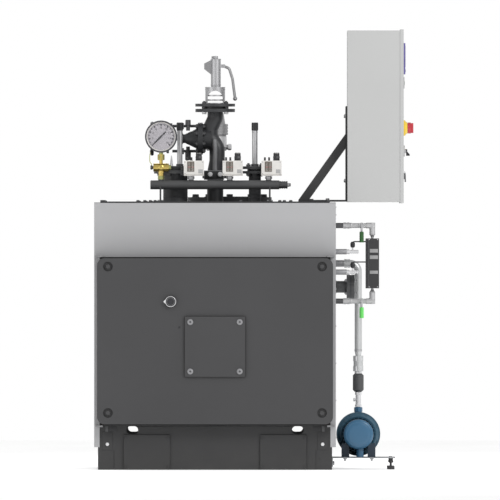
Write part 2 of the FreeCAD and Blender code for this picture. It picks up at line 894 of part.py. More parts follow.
def make_top():
    """Make the top plate and the round inspection cover."""
    across = (f"- {PLATE_HALF}", PLATE_HALF)
    piece(block("top_plate", across, (FRONT, f"{REAR} - sheet"), ("casing_top", DECK)), "top_plate")
    place = ("cover_offset", "cover_depth")
    plate = rod("cover_plate", "z", (DECK, f"{DECK} + cover_thick"), place, "cover_radius")
    piece(plate, "inspection_cover")


def make_header():
    """Make the welded header: its pipe, end cap, legs, instrument bosses and link to the riser."""
    across = (HEADER_Y, HEADER_Z)
    end = "header_half + header_cap_length"
    parts = [
        rod("header_pipe", "x", ("- header_half", "header_half"), across, "header_radius"),
        rod("header_cap", "x", ("header_half", end), across, "header_cap_radius"),
        rod("header_vent", "x", (end, f"{end} + header_vent_length"), across, "header_vent_radius"),
    ]
    for side in (-1, 1):
        middle = f"{side} * leg_offset"
        span = (f"{middle} - leg_thick / 2", f"{middle} + leg_thick / 2")
        depth = (f"{HEADER_Y} - leg_depth / 2", f"{HEADER_Y} + leg_depth / 2")
        parts.append(block("header_leg", span, depth, (DECK, HEADER_Z)))
    bosses = ["- gauge_offset"]
    for turn in (-1, 0, 1):
        bosses.append(f"switch_middle + {turn} * switch_pitch - switch_stem_shift")
    for place in bosses:
        parts.append(rod("header_boss", "z", (HEADER_Z, BOSS_TOP), (place, HEADER_Y), "boss_radius"))
    link = rod("header_link", "y", (HEADER_Y, RISER_Y), ("0", HEADER_Z), "link_radius")
    riser = rod("riser_clear", "z", (DECK, VALVE_BOTTOM), ("0", RISER_Y), "riser_radius")
    parts.append(cut("header_link_end", link, riser))
    piece(fuse("steam_header", *parts), "steam_header")


def make_pots():
    """Make the two level pots and the electrode heads on them."""
    place = ("- pot_offset", POT_Y)
    flange_top = f"{POT_TOP} + pot_left_flange_thick"
    pipe = rod("pot_left_pipe", "z", (DECK, POT_TOP), place, "pot_left_radius")
    flange = rod("pot_left_flange", "z", (POT_TOP, flange_top), place, "pot_left_flange")
    piece(fuse("level_pot_left", pipe, flange), "level_pot_left")
    head_top = f"( {flange_top} + head_thick )"
    top = f"( {DECK} + electrode_top )"
    cap_low = f"( {top} - electrode_cap_lap )"
    cap = (cap_low, f"{cap_low} + electrode_cap_height")
    shifted = ("- pot_offset + electrode_shift", POT_Y)
    parts = [
        rod("head_left", "z", (flange_top, head_top), place, "head_radius"),
        rod("electrode_left", "z", (head_top, top), shifted, "electrode_radius"),
        rod("electrode_cap_left", "z", cap, shifted, "electrode_cap_radius"),
        taper(
            "pot_plug",
            "z",
            (head_top, f"{head_top} + plug_height"),
            ("- pot_offset - plug_shift", POT_Y),
            ("plug_radius", "plug_radius / 4"),
        ),
    ]
    piece(fuse("level_electrode_left", *parts), "level_electrode_left")

    place = ("pot_offset", POT_Y)
    flange_top = f"( {POT_TOP} + pot_right_flange_thick )"
    pipe = rod("pot_right_pipe", "z", (DECK, POT_TOP), place, "pot_right_radius")
    flange = rod("pot_right_flange", "z", (POT_TOP, flange_top), place, "pot_right_flange")
    piece(fuse("level_pot_right", pipe, flange), "level_pot_right")
    face_top = f"( {flange_top} + pot_right_face_gap )"
    head_top = f"( {face_top} + pot_right_flange_thick )"
    parts = [
        rod("face_right", "z", (flange_top, face_top), place, "pot_right_face_radius"),
        rod("head_right", "z", (face_top, head_top), place, "pot_right_flange"),
        rod("electrode_right", "z", (head_top, top), place, "electrode_radius"),
        rod("electrode_cap_right", "z", cap, place, "electrode_cap_radius"),
    ]
    piece(fuse("level_electrode_right", *parts), "level_electrode_right")


def make_steam_valve():
    """Make the riser, the S-shaped valve body, its bonnet and yoke, and the handwheel on its stem."""
    place = ("0", RISER_Y)
    top = f"( {DECK} + riser_height )"
    pipe = rod("riser_pipe", "z", (DECK, top), place, "riser_radius")
    flange = rod("riser_flange", "z", (top, VALVE_BOTTOM), place, "riser_flange")
    piece(fuse("steam_riser", pipe, flange), "steam_riser")

    face = "( valve_upper_shift + valve_radius - bonnet_face_lap )"
    bends = [
        ("0", RISER_Y, VALVE_BOTTOM),
        ("0", RISER_Y, f"{VALVE_BOTTOM} + valve_first_rise"),
        ("valve_lower_shift", RISER_Y, f"{STEM_Z} - valve_lower_start"),
        ("valve_lower_shift", RISER_Y, f"{STEM_Z} - valve_lower_end"),
        ("- valve_upper_shift", RISER_Y, f"{STEM_Z} + valve_upper_start"),
        ("- valve_upper_shift", RISER_Y, f"{STEM_Z} + valve_upper_end"),
        ("0", RISER_Y, f"{STEM_Z} + valve_head_start"),
        ("0", RISER_Y, VALVE_TOP),
    ]
    across = (RISER_Y, STEM_Z)
    foot = (VALVE_BOTTOM, f"{VALVE_BOTTOM} + riser_flange_thick")
    start = f"( - {face} - bonnet_flange_thick / 2 )"
    parts = [
        bent_rod("valve_bends", bends, number("valve_radius + valve_bend_inside"), number("valve_radius")),
        rod("valve_foot", "z", foot, place, "riser_flange"),
        rod("valve_head", "z", (f"{VALVE_TOP} - valve_flange_thick", VALVE_TOP), place, "valve_flange"),
        rod("valve_raised_face", "z", (VALVE_TOP, f"{VALVE_TOP} + raised_step"), place, "raised_face"),
        rod("valve_branch", "x", (f"- {face}", "- branch_root"), across, "branch_radius"),
        rod("valve_flange", "x", (start, f"- {face}"), across, "bonnet_flange"),
    ]
    piece(fuse("steam_valve_body", *parts), "steam_valve_body")

    second = f"( {start} - bonnet_flange_thick )"
    cone_end = f"( {second} - bonnet_cone_length )"
    neck_end = f"( {cone_end} - bonnet_neck_length )"
    pillar_end = f"( {second} - pillar_length )"
    bridge_end = f"( {pillar_end} - bridge_thick )"
    parts = [
        rod("bonnet_flange", "x", (second, start), across, "bonnet_flange"),
        taper("bonnet_cone", "x", (cone_end, second), across, ("bonnet_neck", "branch_radius")),
        rod("bonnet_neck", "x", (neck_end, cone_end), across, "bonnet_neck"),
    ]
    for side in (-1, 1):
        lifted = (RISER_Y, f"{STEM_Z} + {side} * pillar_offset")
        parts.append(rod("bonnet_pillar", "x", (pillar_end, second), lifted, "pillar_radius"))
    depth = (f"{RISER_Y} - bridge_width / 2", f"{RISER_Y} + bridge_width / 2")
    reach = "pillar_offset + 2 * pillar_radius"
    height = (f"{STEM_Z} - {reach}", f"{STEM_Z} + {reach}")
    parts.append(block("bridge", (bridge_end, pillar_end), depth, height))
    bore = rod("stem_bore", "x", (f"{bridge_end} - 1", cone_end), across, "stem_radius + stem_clear")
    piece(cut("steam_valve_bonnet", fuse("bonnet_solid", *parts), bore), "steam_valve_bonnet")

    wheel_x = "- wheel_offset"
    hub_x = (f"{wheel_x} - wheel_hub_half", f"{wheel_x} + wheel_hub_half")
    rim = stand(DOCUMENT.addObject("Part::Torus", "wheel_rim"), "x", wheel_x, across)
    bind(rim, Radius1="wheel_radius", Radius2="wheel_rim")
    parts = [
        rim,
        rod("wheel_stem", "x", ("- stem_end", f"{cone_end} - stem_end_gap"), across, "stem_radius"),
        rod("wheel_hub", "x", hub_x, across, "wheel_hub"),
    ]
    for turn in range(3):
        spoke = DOCUMENT.addObject("Part::Cylinder", "wheel_spoke")
        turned = FreeCAD.Rotation(FreeCAD.Vector(1, 0, 0), 360 * turn / 3)
        spoke.Placement = FreeCAD.Placement(FreeCAD.Vector(), turned)
        bind(spoke, Base_x=wheel_x, Base_y=across[0], Base_z=across[1])
        bind(spoke, Radius="wheel_spoke", Height="wheel_radius")
        parts.append(spoke)
    piece(fuse("steam_valve_handwheel", *parts), "steam_valve_handwheel")


def make_safety_valve():
    """Make the safety valve: its flange and open cage, its bonnet with the clevis, and the lifting lever."""
    place = ("0", RISER_Y)
    body = [
        rod("safety_face", "z", (f"{VALVE_TOP} + raised_step", SAFETY_BOTTOM), place, "raised_face"),
        rod("safety_flange", "z", (SAFETY_BOTTOM, CAGE_BOTTOM), place, "valve_flange"),
    ]
    outside = rod("cage_outside", "z", (CAGE_BOTTOM, CAGE_TOP), place, "cage_radius")
    room_top = f"( {CAGE_TOP} - 2 * cage_wall )"
    inside = rod("cage_inside", "z", (CAGE_BOTTOM, room_top), place, "cage_radius - cage_wall")
    depth = (f"{RISER_Y} - cage_radius - 1", f"{RISER_Y} + cage_radius + 1")
    arch = f"( {room_top} - cage_window_clear - cage_window )"
    window = block("cage_window", ("- cage_window", "cage_window"), depth, (CAGE_BOTTOM, arch))
    head = rod("cage_arch", "y", depth, ("0", arch), "cage_window")
    body.append(cut("cage", outside, inside, window, head))
    for low in ("cage_bar_lower", "cage_bar_upper"):
        span = (f"{CAGE_BOTTOM} + {low}", f"{CAGE_BOTTOM} + {low} + cage_bar")
        body.append(rod("cage_bar", "z", span, place, "cage_radius - cage_wall + 1"))
    centre = ("safety_bonnet_shift", RISER_Y)
    top = f"( {CAGE_TOP} + safety_bonnet_height )"
    body.append(rod("safety_bonnet", "z", (CAGE_TOP, top), centre, "safety_bonnet_radius"))
    body.append(rod("safety_knob", "z", (top, f"{top} + safety_knob_height"), centre, "safety_knob_radius"))
    outline = [
        ("- lobe_root", f"{top} - lobe_top"),
        ("- lobe_reach", f"{top} - lobe_upper"),
        ("- lobe_reach", f"{top} - lobe_lower"),
        ("- lobe_root", f"{top} - lobe_bottom"),
    ]
    body.append(flat_plate("safety_lobe", outline, f"{RISER_Y} - lobe_thick / 2", "lobe_thick"))
    tip = "lever_reach + 2 * lever_pin_radius"
    height = (f"{LEVER_PIVOT_Z} - 2 * lever_pin_radius", f"{LEVER_PIVOT_Z} + 2 * lever_pin_radius")
    for side in (-1, 1):
        edges = [f"{RISER_Y} + {side} * clevis_gap", f"{RISER_Y} + {side} * ( clevis_gap + clevis_cheek )"]
        edges = edges if side > 0 else edges[::-1]
        body.append(block("clevis_cheek", ("safety_bonnet_shift + clevis_root", tip), edges, height))
    ends = (f"{RISER_Y} - clevis_gap - clevis_cheek", f"{RISER_Y} + clevis_gap + clevis_cheek")
    body.append(rod("lever_pin", "y", ends, ("lever_reach", LEVER_PIVOT_Z), "lever_pin_radius"))
    piece(fuse("safety_valve", *body), "safety_valve")

    run = [
        ("lever_reach", RISER_Y, LEVER_PIVOT_Z),
        ("lever_reach + lever_knee_reach", RISER_Y, f"{LEVER_PIVOT_Z} - lever_knee_drop"),
        ("lever_reach + lever_middle_reach", RISER_Y, f"{LEVER_PIVOT_Z} - lever_middle_drop"),
        ("lever_reach + lever_tip_reach", RISER_Y, f"{LEVER_PIVOT_Z} - lever_tip_drop"),
    ]
    bar = bent_rod("lever_bar", run, number("lever_bend"), number("lever_radius"))
    eye_span = (f"{RISER_Y} - lever_radius", f"{RISER_Y} + lever_radius")
    eye = rod("lever_eye", "y", eye_span, ("lever_reach", LEVER_PIVOT_Z), "2 * lever_pin_radius")
    knob = ball("lever_knob", run[-1], "lever_knob_radius")
    hole = rod("lever_hole", "y", ends, ("lever_reach", LEVER_PIVOT_Z), "lever_pin_radius + lever_pin_clear")
    piece(cut("safety_valve_lever", fuse("lever_solid", bar, eye, knob), hole), "safety_valve_lever")


def make_gauge():
    """Make the pressure gauge with its sunk dial, and the brass cock that carries it."""
    place = ("- gauge_offset", f"{DECK} + gauge_level")
    front = f"( {HEADER_Y} - gauge_depth / 2 )"
    case = rod("gauge_case", "y", (front, f"{HEADER_Y} + gauge_depth / 2"), place, "gauge_radius")
    sunk = (f"{front} - 1", f"{front} + gauge_dial_sink")
    sink = rod("gauge_sink", "y", sunk, place, "gauge_radius - gauge_rim")
    bottom = f"( {DECK} + gauge_level - gauge_radius - gauge_stem_length )"
    upright = ("- gauge_offset", HEADER_Y)
    span = (bottom, f"{bottom} + 2 * gauge_stem_length")
    stem = rod("gauge_stem", "z", span, upright, "gauge_stem_radius")
    piece(fuse("pressure_gauge", cut("gauge_dished", case, sink), stem), "pressure_gauge")

    level = f"( {DECK} + cock_body_level )"
    nut_bottom = f"( {bottom} - cock_nut_height )"
    ends = ("- gauge_offset - cock_body_half", "- gauge_offset + cock_body_half")
    parts = [
        rod("cock_foot", "z", (BOSS_TOP, level), upright, "cock_foot_radius"),
        rod("cock_body", "x", ends, (HEADER_Y, level), "cock_body_radius"),
        rod("cock_neck", "z", (level, nut_bottom), upright, "gauge_stem_radius"),
        rod("cock_nut", "z", (nut_bottom, bottom), upright, "cock_nut_radius"),
    ]
    piece(fuse("gauge_cock", *parts), "gauge_cock")


def make_switches():
    """Make the three pressure switches on the header."""
    for turn, name in ((-1, "left"), (0, "middle"), (1, "right")):
        middle = f"( switch_middle + {turn} * switch_pitch )"
        low = f"( {DECK} + switch_bottom )"
        high = f"( {low} + switch_height )"
        span = (f"{middle} - switch_width / 2", f"{middle} + switch_width / 2")
        depth = (f"{HEADER_Y} - switch_depth / 2", f"{HEADER_Y} + switch_depth / 2")
        stem = (f"{middle} - switch_stem_shift", HEADER_Y)
        gland = (f"{middle} + gland_shift", HEADER_Y)
        parts = [
            block(f"switch_{name}_box", span, depth, (low, high)),
            rod(f"switch_{name}_stem", "z", (BOSS_TOP, low), stem, "switch_stem_radius"),
            rod(f"switch_{name}_gland", "z", (high, f"{high} + gland_height"), gland, "gland_radius"),
        ]
        piece(fuse(f"pressure_switch_{name}", *parts), f"pressure_switch_{name}")


def make_vent_valve():
    """Make the vent valve behind the steam valve, on its own pipe."""
    place = ("vent_offset", f"{FRONT} + vent_setback")
    seat = f"( {DECK} + vent_pipe_height )"
    shoulder = f"( {seat} + vent_body_height )"
    crown = f"( {shoulder} + vent_cap_height )"
    top = f"( {crown} + vent_cone_height )"
    arm = (place[1], f"{seat} + vent_pipe_radius")
    outlet = ("vent_offset - vent_outlet_left", "vent_offset + vent_outlet_right")
    parts = [
        rod("vent_pipe", "z", (DECK, seat), place, "vent_pipe_radius"),
        rod("vent_body", "z", (seat, shoulder), place, "vent_body_radius"),
        rod("vent_cap", "z", (shoulder, crown), place, "vent_cap_radius"),
        taper("vent_cone", "z", (crown, top), place, ("vent_cone_base", "vent_cone_top")),
        rod("vent_outlet", "x", outlet, arm, "vent_outlet_radius"),
    ]
    piece(fuse("vent_valve", *parts), "vent_valve")


def make_bracket():
    """Make the cabinet's carrier: a foot plate, an upright plate and two braces."""
    middle = f"( {CABINET_Y} + cabinet_width / 2 )"
    width = (f"{middle} - bracket_width / 2", f"{middle} + bracket_width / 2")
    plate_x = (f"{CABINET_X} - bracket_plate", CABINET_X)
    foot_x = (f"{CABINET_X} - bracket_foot", plate_x[0])
    foot_z = (DECK, f"( {DECK} + bracket_plate )")
    foot = block("cabinet_foot", foot_x, width, foot_z)
    upright = block("cabinet_upright", plate_x, width, (DECK, f"{DECK} + bracket_height"))
    piece(fuse("cabinet_bracket", foot, upright), "cabinet_bracket")
    heel, toe = foot_x
    floor = foot_z[1]
    run = "( bracket_foot - bracket_plate )"
    slope = f"sqrt( {run} ^ 2 + brace_rise ^ 2 )"
    outline = [
        (heel, floor),
        (f"{heel} + brace_width * {slope} / brace_rise", floor),
        (toe, f"{floor} + brace_rise - brace_width * {slope} / {run}"),
        (toe, f"{floor} + brace_rise"),
    ]
    starts = (width[0], f"{width[1]} - brace_thick")
    braces = [flat_plate("brace", outline, start, "brace_thick") for start in starts]
    piece(group("cabinet_braces", *braces), "cabinet_braces")


def hinge_levels():
    """Return the mid heights of the cabinet door's two hinges."""
    return ("( cabinet_bottom + knuckle_inset )", f"( {CABINET_TOP} - knuckle_inset )")


def make_cabinet():
    """Make the hollow cabinet with its hinge lugs and pins, and its door with the hinge barrels."""
    shell_end = f"( {CABINET_DOOR_X} - cabinet_door_gap )"
    depth = (CABINET_Y, CABINET_END)
    outside = block("cabinet_outside", (CABINET_X, shell_end), depth, ("cabinet_bottom", CABINET_TOP))
    inside = block(
        "cabinet_inside",
        (f"{CABINET_X} + cabinet_wall", f"{shell_end} + 1"),
        (f"{CABINET_Y} + cabinet_wall", f"{CABINET_END} - cabinet_wall"),
        ("cabinet_bottom + cabinet_wall", f"{CABINET_TOP} - cabinet_wall"),
    )
    shell = [cut("cabinet_hollow", outside, inside)]
    pivot = (f"{CABINET_DOOR_X} + cabinet_door_thick / 2", f"{CABINET_END} + knuckle_radius")
    door = [
        block(
            "cabinet_door_panel",
            (CABINET_DOOR_X, CABINET_FACE),
            (f"{CABINET_Y} - 1", CABINET_END),
            ("cabinet_bottom - cabinet_door_over", f"{CABINET_TOP} + cabinet_door_over"),
        )
    ]
    bores = []
    for level in hinge_levels():
        half = "knuckle_height / 2"
        gap = "knuckle_clear * 3"
        pin_span = (f"{level} - {half} - knuckle_lug", f"{level} + {half} + knuckle_lug")
        for low in (f"{level} - {half} - knuckle_lug", f"{level} + {half}"):
            span_z = (low, f"{low} + knuckle_lug")
            arm_x = (f"{shell_end} - knuckle_arm", pivot[0])
            arm_y = (CABINET_END, f"{pivot[1]} + knuckle_radius / 2")
            shell.append(block("hinge_arm", arm_x, arm_y, span_z))
            shell.append(rod("hinge_eye", "z", span_z, pivot, "knuckle_radius"))
        shell.append(rod("cabinet_pin", "z", pin_span, pivot, "knuckle_pin_radius"))
        barrel_z = (f"{level} - {half} + {gap}", f"{level} + {half} - {gap}")
        door.append(rod("door_barrel", "z", barrel_z, pivot, "knuckle_radius"))
        leaf_x = (f"{pivot[0]} - knuckle_radius / 2", f"{pivot[0]} + knuckle_radius")
        door.append(block("door_leaf", leaf_x, (f"{CABINET_END} - 1", pivot[1]), barrel_z))
        bores.append(rod("barrel_bore", "z", pin_span, pivot, "knuckle_pin_radius + knuckle_clear"))
    piece(fuse("cabinet_shell", *shell), "cabinet_shell")
    piece(cut("cabinet_door", fuse("cabinet_door_solid", *door), *bores), "cabinet_door")


def make_cabinet_fittings():
    """Make what is on the cabinet door: operator panel, main switch, selector and lock."""
    level = "( cabinet_bottom + screen_level )"
    span = (f"{FITTING_Y} - screen_width / 2", f"{FITTING_Y} + screen_width / 2")
    height = (f"{level} - screen_height / 2", f"{level} + screen_height / 2")
    panel_x = (CABINET_FACE, f"{CABINET_FACE} + screen_thick")
    piece(block("operator_panel", panel_x, span, height), "operator_panel")

    level = "( cabinet_bottom + switch_plate_level )"
    half = "switch_plate_size / 2"
    plate_end = f"( {CABINET_FACE} + switch_plate_thick )"
    span = (f"{FITTING_Y} - {half}", f"{FITTING_Y} + {half}")
    height = (f"{level} - {half}", f"{level} + {half}")
    across = (FITTING_Y, level)
    collar_end = f"( {plate_end} + switch_collar )"
    radii = ("switch_collar_root", "switch_collar_tip")
    plate = fuse(
        "switch_plate_solid",
        block("switch_plate", (CABINET_FACE, plate_end), span, height),
        taper("switch_collar", "x", (plate_end, collar_end), across, radii),
    )
    piece(plate, "main_switch_plate")
    start = f"( {collar_end} + knob_gap )"
    grip_x = (f"{start} + knob_thick", f"{start} + knob_thick + knob_grip")
    parts = [
        rod("knob_disc", "x", (start, f"{start} + knob_thick"), across, "knob_radius"),
        block(
            "knob_grip",
            grip_x,
            (f"{FITTING_Y} - knob_grip_width / 2", f"{FITTING_Y} + knob_grip_width / 2"),
            (f"{level} - knob_radius + knob_grip_inset", f"{level} + knob_radius - knob_grip_inset"),
        ),
    ]
    piece(fuse("main_switch_knob", *parts), "main_switch_knob")

    start = f"( {CABINET_FACE} + knob_gap )"
    wing_y = f"{FITTING_Y} - wing_thick / 2"
    level = "( cabinet_bottom + selector_level )"
    end = f"( {start} + selector_length )"
    tip = f"{end} + selector_wing"
    outline = [
        (end, f"{level} + selector_wing_top"),
        (tip, f"{level} - selector_wing_tip"),
        (tip, f"{level} - selector_wing_bottom"),
        (end, f"{level} - selector_wing_bottom"),
    ]
    wing = flat_plate("selector_wing", outline, wing_y, "wing_thick")
    ends = (start, f"{end} + selector_length / 2")
    shaft = rod("selector_shaft", "x", ends, (FITTING_Y, level), "selector_radius")
    piece(fuse("selector_knob", shaft, wing), "selector_knob")

    level = "( cabinet_bottom + lock_level )"
    end = f"( {start} + lock_length )"
    outline = [
        (f"{end} - 1", f"{level} + lock_wing_top"),
        (f"{end} + lock_wing_slope", f"{level} + lock_wing_shoulder"),
        (f"{end} + lock_wing", f"{level} - lock_wing_bottom"),
        (f"{end} - 1", f"{level} - lock_wing_bottom"),
    ]
    wing = flat_plate("lock_wing", outline, wing_y, "wing_thick")
    disc = rod("lock_disc", "x", (start, end), (FITTING_Y, level), "lock_radius")
    piece(fuse("cabinet_lock", disc, wing), "cabinet_lock")


def make_level_gauge():
    """Make the level gauge: its body, its two lines with cocks, and the cock levers."""
    bottom = "( ( level_upper + level_lower ) / 2 - level_body_height / 2 )"
    top = f"( {bottom} + level_body_height )"
    span = (f"{LEVEL_X} - level_body_width / 2", f"{LEVEL_X} + level_body_width / 2")
    depth = (f"{LEVEL_Y} - level_body_depth / 2", f"{LEVEL_Y} + level_body_depth / 2")
    piece(block("level_gauge", span, depth, (bottom, top)), "level_gauge")
    lines = []
    for name, turn, edge in (("upper", 1, top), ("lower", -1, bottom)):
        level = f"level_{name}"
        across = (LEVEL_Y, level)
        neck = f"( {edge} + {turn} * level_neck_length )"
        route = [
            (f"{HALF} + level_hex_end", LEVEL_Y, level),
            (LEVEL_X, LEVEL_Y, level),
            (LEVEL_X, LEVEL_Y, neck),
        ]
        necks = (edge, neck) if turn > 0 else (neck, edge)
        boss = (f"{LEVEL_Y} - cock_boss_front", f"{LEVEL_Y} + cock_boss_front")
        hex_x = (f"{HALF} + level_hex_start", f"{HALF} + level_hex_end")
        parts = [
            rod("level_socket", "x", (HALF, f"{HALF} + level_hex_start"), across, "level_tube_radius"),
            rod("level_hex", "x", hex_x, across, "level_hex_radius"),
            bent_rod(f"level_tube_{name}", route, number("level_bend"), number("level_tube_radius")),
            rod("level_neck", "z", necks, (LEVEL_X, LEVEL_Y), "level_neck_radius"),
            rod("level_cock_boss", "y", boss, (COCK_X, level), "cock_boss_radius"),
        ]
        pin_end = f"{LEVEL_Y} - cock_boss_front + cock_pin_depth"
        pin_hole = (f"{LEVEL_Y} - cock_boss_front - 1", f"{pin_end} + cock_pin_clear")
        hole = rod("level_cock_bore", "y", pin_hole, (COCK_X, level), "cock_pin_radius + cock_pin_clear")
        lines.append(cut(f"level_line_{name}", fuse(f"level_line_{name}_solid", *parts), hole))
        lever_y = f"( {LEVEL_Y} - cock_lever_front )"
        grip = (f"{level} - cock_grip_end", f"{level} - cock_grip_start")
        parts = [
            rod("cock_pin", "y", (lever_y, pin_end), (COCK_X, level), "cock_pin_radius"),
            rod("cock_stem", "z", (grip[1], level), (COCK_X, lever_y), "cock_stem_radius"),
            ball("cock_eye", (COCK_X, lever_y, level), "cock_pin_radius"),
            rod("cock_grip", "z", grip, (COCK_X, lever_y), "cock_grip_radius"),
        ]
        piece(fuse(f"level_cock_{name}", *parts), f"level_cock_{name}")
    piece(group("level_lines", *lines), "level_lines")


def make_probes():
    """Make the two wall probes with their plugs and the short leads to the level gauge."""
    parts = []
    body_side = f"( {LEVEL_X} - level_body_width / 2 )"
    for level in ("probe_upper", "probe_lower"):
        across = (LEVEL_Y, level)
        start = f"( {HALF} + probe_fitting_length )"
        plug = f"( {HALF} + probe_plug_reach )"
        height = f"( {level} + probe_plug_rise )"
        lead = f"( {level} + lead_rise )"
        route = [
            (plug, LEVEL_Y, height),
            (plug, LEVEL_Y, lead),
            (body_side, LEVEL_Y, lead),
        ]
        parts.append(
            fuse(
                f"{level}_set",
                rod("probe_fitting", "x", (HALF, start), across, "probe_fitting_radius"),
                rod("probe", "x", (start, f"{start} + probe_length"), across, "probe_radius"),
                rod("probe_stem", "z", (level, height), (plug, LEVEL_Y), "probe_stem_radius"),
                ball("probe_plug", (plug, LEVEL_Y, height), "probe_plug_radius"),
                bent_rod("probe_lead", route, number("lead_bend"), number("lead_radius")),
            )
        )
    piece(group("wall_probes", *parts), "wall_probes")


def make_blowdown():
    """Make the blowdown connection: a flanged pipe with its counter flange and four bolt holes."""
    place = (f"( {FRONT} + blowdown_setback )", "blowdown_level")
    first = f"( {HALF} + blowdown_length )"
    second = f"( {first} + blowdown_flange_thick )"
    third = f"( {second} + blowdown_face_gap )"
    end = f"( {third} + blowdown_flange_thick )"
    solid = fuse(
        "blowdown_solid",
        rod("blowdown_pipe", "x", (HALF, first), place, "blowdown_radius"),
        rod("blowdown_inner_flange", "x", (first, second), place, "blowdown_flange"),
        rod("blowdown_gasket", "x", (second, third), place, "blowdown_face_radius"),
        rod("blowdown_outer_flange", "x", (third, end), place, "blowdown_flange"),
    )
    tools = [rod("blowdown_bore", "x", (f"{HALF} + 5", f"{end} + 1"), place, "blowdown_bore")]
    for turn in range(4):
        angle = f"( {turn} * 90 deg + 45 deg )"
        hole_y = f"{place[0]} + blowdown_circle * cos( {angle} )"
        hole_z = f"{place[1]} + blowdown_circle * sin( {angle} )"
        through = (f"{first} - 1", f"{end} + 1")
        tools.append(rod("blowdown_hole", "x", through, (hole_y, hole_z), "blowdown_hole_radius"))
    piece(cut("blowdown_flange", solid, *tools), "blowdown_flange")


def make_feed_line():
    """Make the feed pipe from the wall socket down to its union, and the check valve under it."""
    across = (FEED_Y, "feed_level")
    upright = (FEED_X, FEED_Y)
    socket = f"( {HALF} + feed_socket_length )"
    start = f"( {socket} + feed_union_length )"
    route = [
        (start, FEED_Y, "feed_level"),
        (FEED_X, FEED_Y, "feed_level"),
        (FEED_X, FEED_Y, "feed_bottom"),
    ]
    radii = ("feed_taper_radius", "feed_radius")
    parts = [
        rod("feed_socket", "x", (HALF, socket), across, "feed_socket_radius"),
        rod("feed_wall_union", "x", (socket, start), across, "feed_union_radius"),
        bent_rod("feed_tube", route, number("feed_bend"), number("feed_radius")),
        taper("feed_taper", "z", ("union_top", "feed_bottom"), upright, radii),
        rod("feed_union", "z", ("union_bottom", "union_top"), upright, "union_radius"),
    ]
    piece(fuse("feed_pipe", *parts), "feed_pipe")
    inner = "check_radius - check_chamfer"
    low, high = "check_bottom + check_chamfer", "check_top - check_chamfer"
    parts = [
        rod("check_neck", "z", ("check_top", "union_bottom"), upright, "check_neck"),
        taper("check_upper", "z", (high, "check_top"), upright, ("check_radius", inner)),
        rod("check_middle", "z", (low, high), upright, "check_radius"),
        taper("check_lower", "z", ("check_bottom", low), upright, (inner, "check_radius")),
        rod("check_tail", "z", (PUMP_TOP, "check_bottom"), upright, "check_tail"),
    ]
    piece(fuse("check_valve", *parts), "check_valve")


def make_pump():
    """Make the feed pump: its round casing with inlet and outlet, the motor and the two feet."""
    across = (FEED_X, PUMP_Z)
    back = f"( {FEED_Y} + pump_depth / 2 )"
    inlet_end = f"( {back} + pump_inlet_length )"
    solid = fuse(
        "pump_solid",
        rod("pump_volute", "y", (MOTOR_BACK, back), across, "pump_radius"),
        rod("pump_outlet", "z", (PUMP_Z, PUMP_TOP), (FEED_X, FEED_Y), "pump_outlet_radius"),
        rod("pump_inlet", "y", (back, inlet_end), across, "pump_inlet_radius"),
    )
    bore = rod("pump_inlet_bore", "y", (back, f"{inlet_end} + 1"), across, "pump_inlet_bore")
    piece(cut("pump_casing", solid, bore), "pump_casing")
    barrel = rod("motor_barrel", "y", (f"{MOTOR_FACE} + motor_edge", MOTOR_BACK), across, "motor_radius")
    edge = (MOTOR_FACE, f"{MOTOR_FACE} + motor_edge")
    face = taper("motor_face", "y", edge, across, ("motor_radius - motor_edge", "motor_radius"))
    place = (f"{FEED_X} + motor_drain_shift", f"{MOTOR_FACE} + motor_drain_setback")
    drain = rod("motor_drain", "z", ("support_top", PUMP_Z), place, "motor_drain_radius")
    piece(fuse("pump_motor", barrel, face, drain), "pump_motor")
    middle = f"( {MOTOR_FACE} + {MOTOR_BACK} ) / 2"
    depth = (f"{middle} - motor_foot_length / 2", f"{middle} + motor_foot_length / 2")
    feet = []
    for side in (-1, 1):
        place = f"( {FEED_X} + {side} * motor_foot_offset )"
        span = (f"{place} - motor_foot_width / 2", f"{place} + motor_foot_width / 2")
        foot = block("motor_foot", span, depth, ("support_top", f"{PUMP_Z} - motor_foot_drop"))
        room = rod("motor_room", "y", (MOTOR_FACE, MOTOR_BACK), across, "motor_radius")
        feet.append(cut("motor_foot_cut", foot, room))
    piece(group("motor_feet", *feet), "motor_feet")


def make_support():
    """Make the pump's support plate, with its skirt on the base, and the two levelling feet."""
    span = (SUPPORT_X, f"( {SUPPORT_X} + support_reach )")
    depth = (SUPPORT_Y, f"( {SUPPORT_Y} + support_length )")
    plate = block("support_plate", span, depth, (SUPPORT_BOTTOM, "support_top"))
    skirt_x = (SUPPORT_X, f"{SUPPORT_X} + support_thick")
    skirt = block("support_skirt", skirt_x, depth, (f"{SUPPORT_BOTTOM} - support_skirt", SUPPORT_BOTTOM))
    piece(fuse("pump_support", plate, skirt), "pump_support")
    feet = []
    for place_y in (f"{depth[0]} + foot_inset", f"{depth[1]} - foot_inset"):
        place = (f"{span[1]} - foot_inset", place_y)
        nut = f"( {SUPPORT_BOTTOM} - foot_nut_height )"
        feet.append(
            fuse(
                "levelling_foot",
                rod("foot_nut", "z", (nut, SUPPORT_BOTTOM), place, "foot_nut_radius"),
                rod("foot_stem", "z", ("foot_pad_height", nut), place, "foot_stem_radius"),
                rod("foot_pad", "z", ("0", "foot_pad_height"), place, "foot_pad_radius"),
            )
        )
    piece(group("levelling_feet", *feet), "levelling_feet")


def check_document():
    """Stop if any object has failed, or any sub-part has no valid shape."""
    for item in DOCUMENT.Objects:
        if "Invalid" in item.State or "Error" in item.State:
            raise RuntimeError(f"{item.Name} failed: {item.State}")
    for item in PIECES:
        if item.Shape.isNull() or not item.Shape.isValid() or not item.Shape.Solids:
            raise RuntimeError(f"{item.Label} has no valid solid")


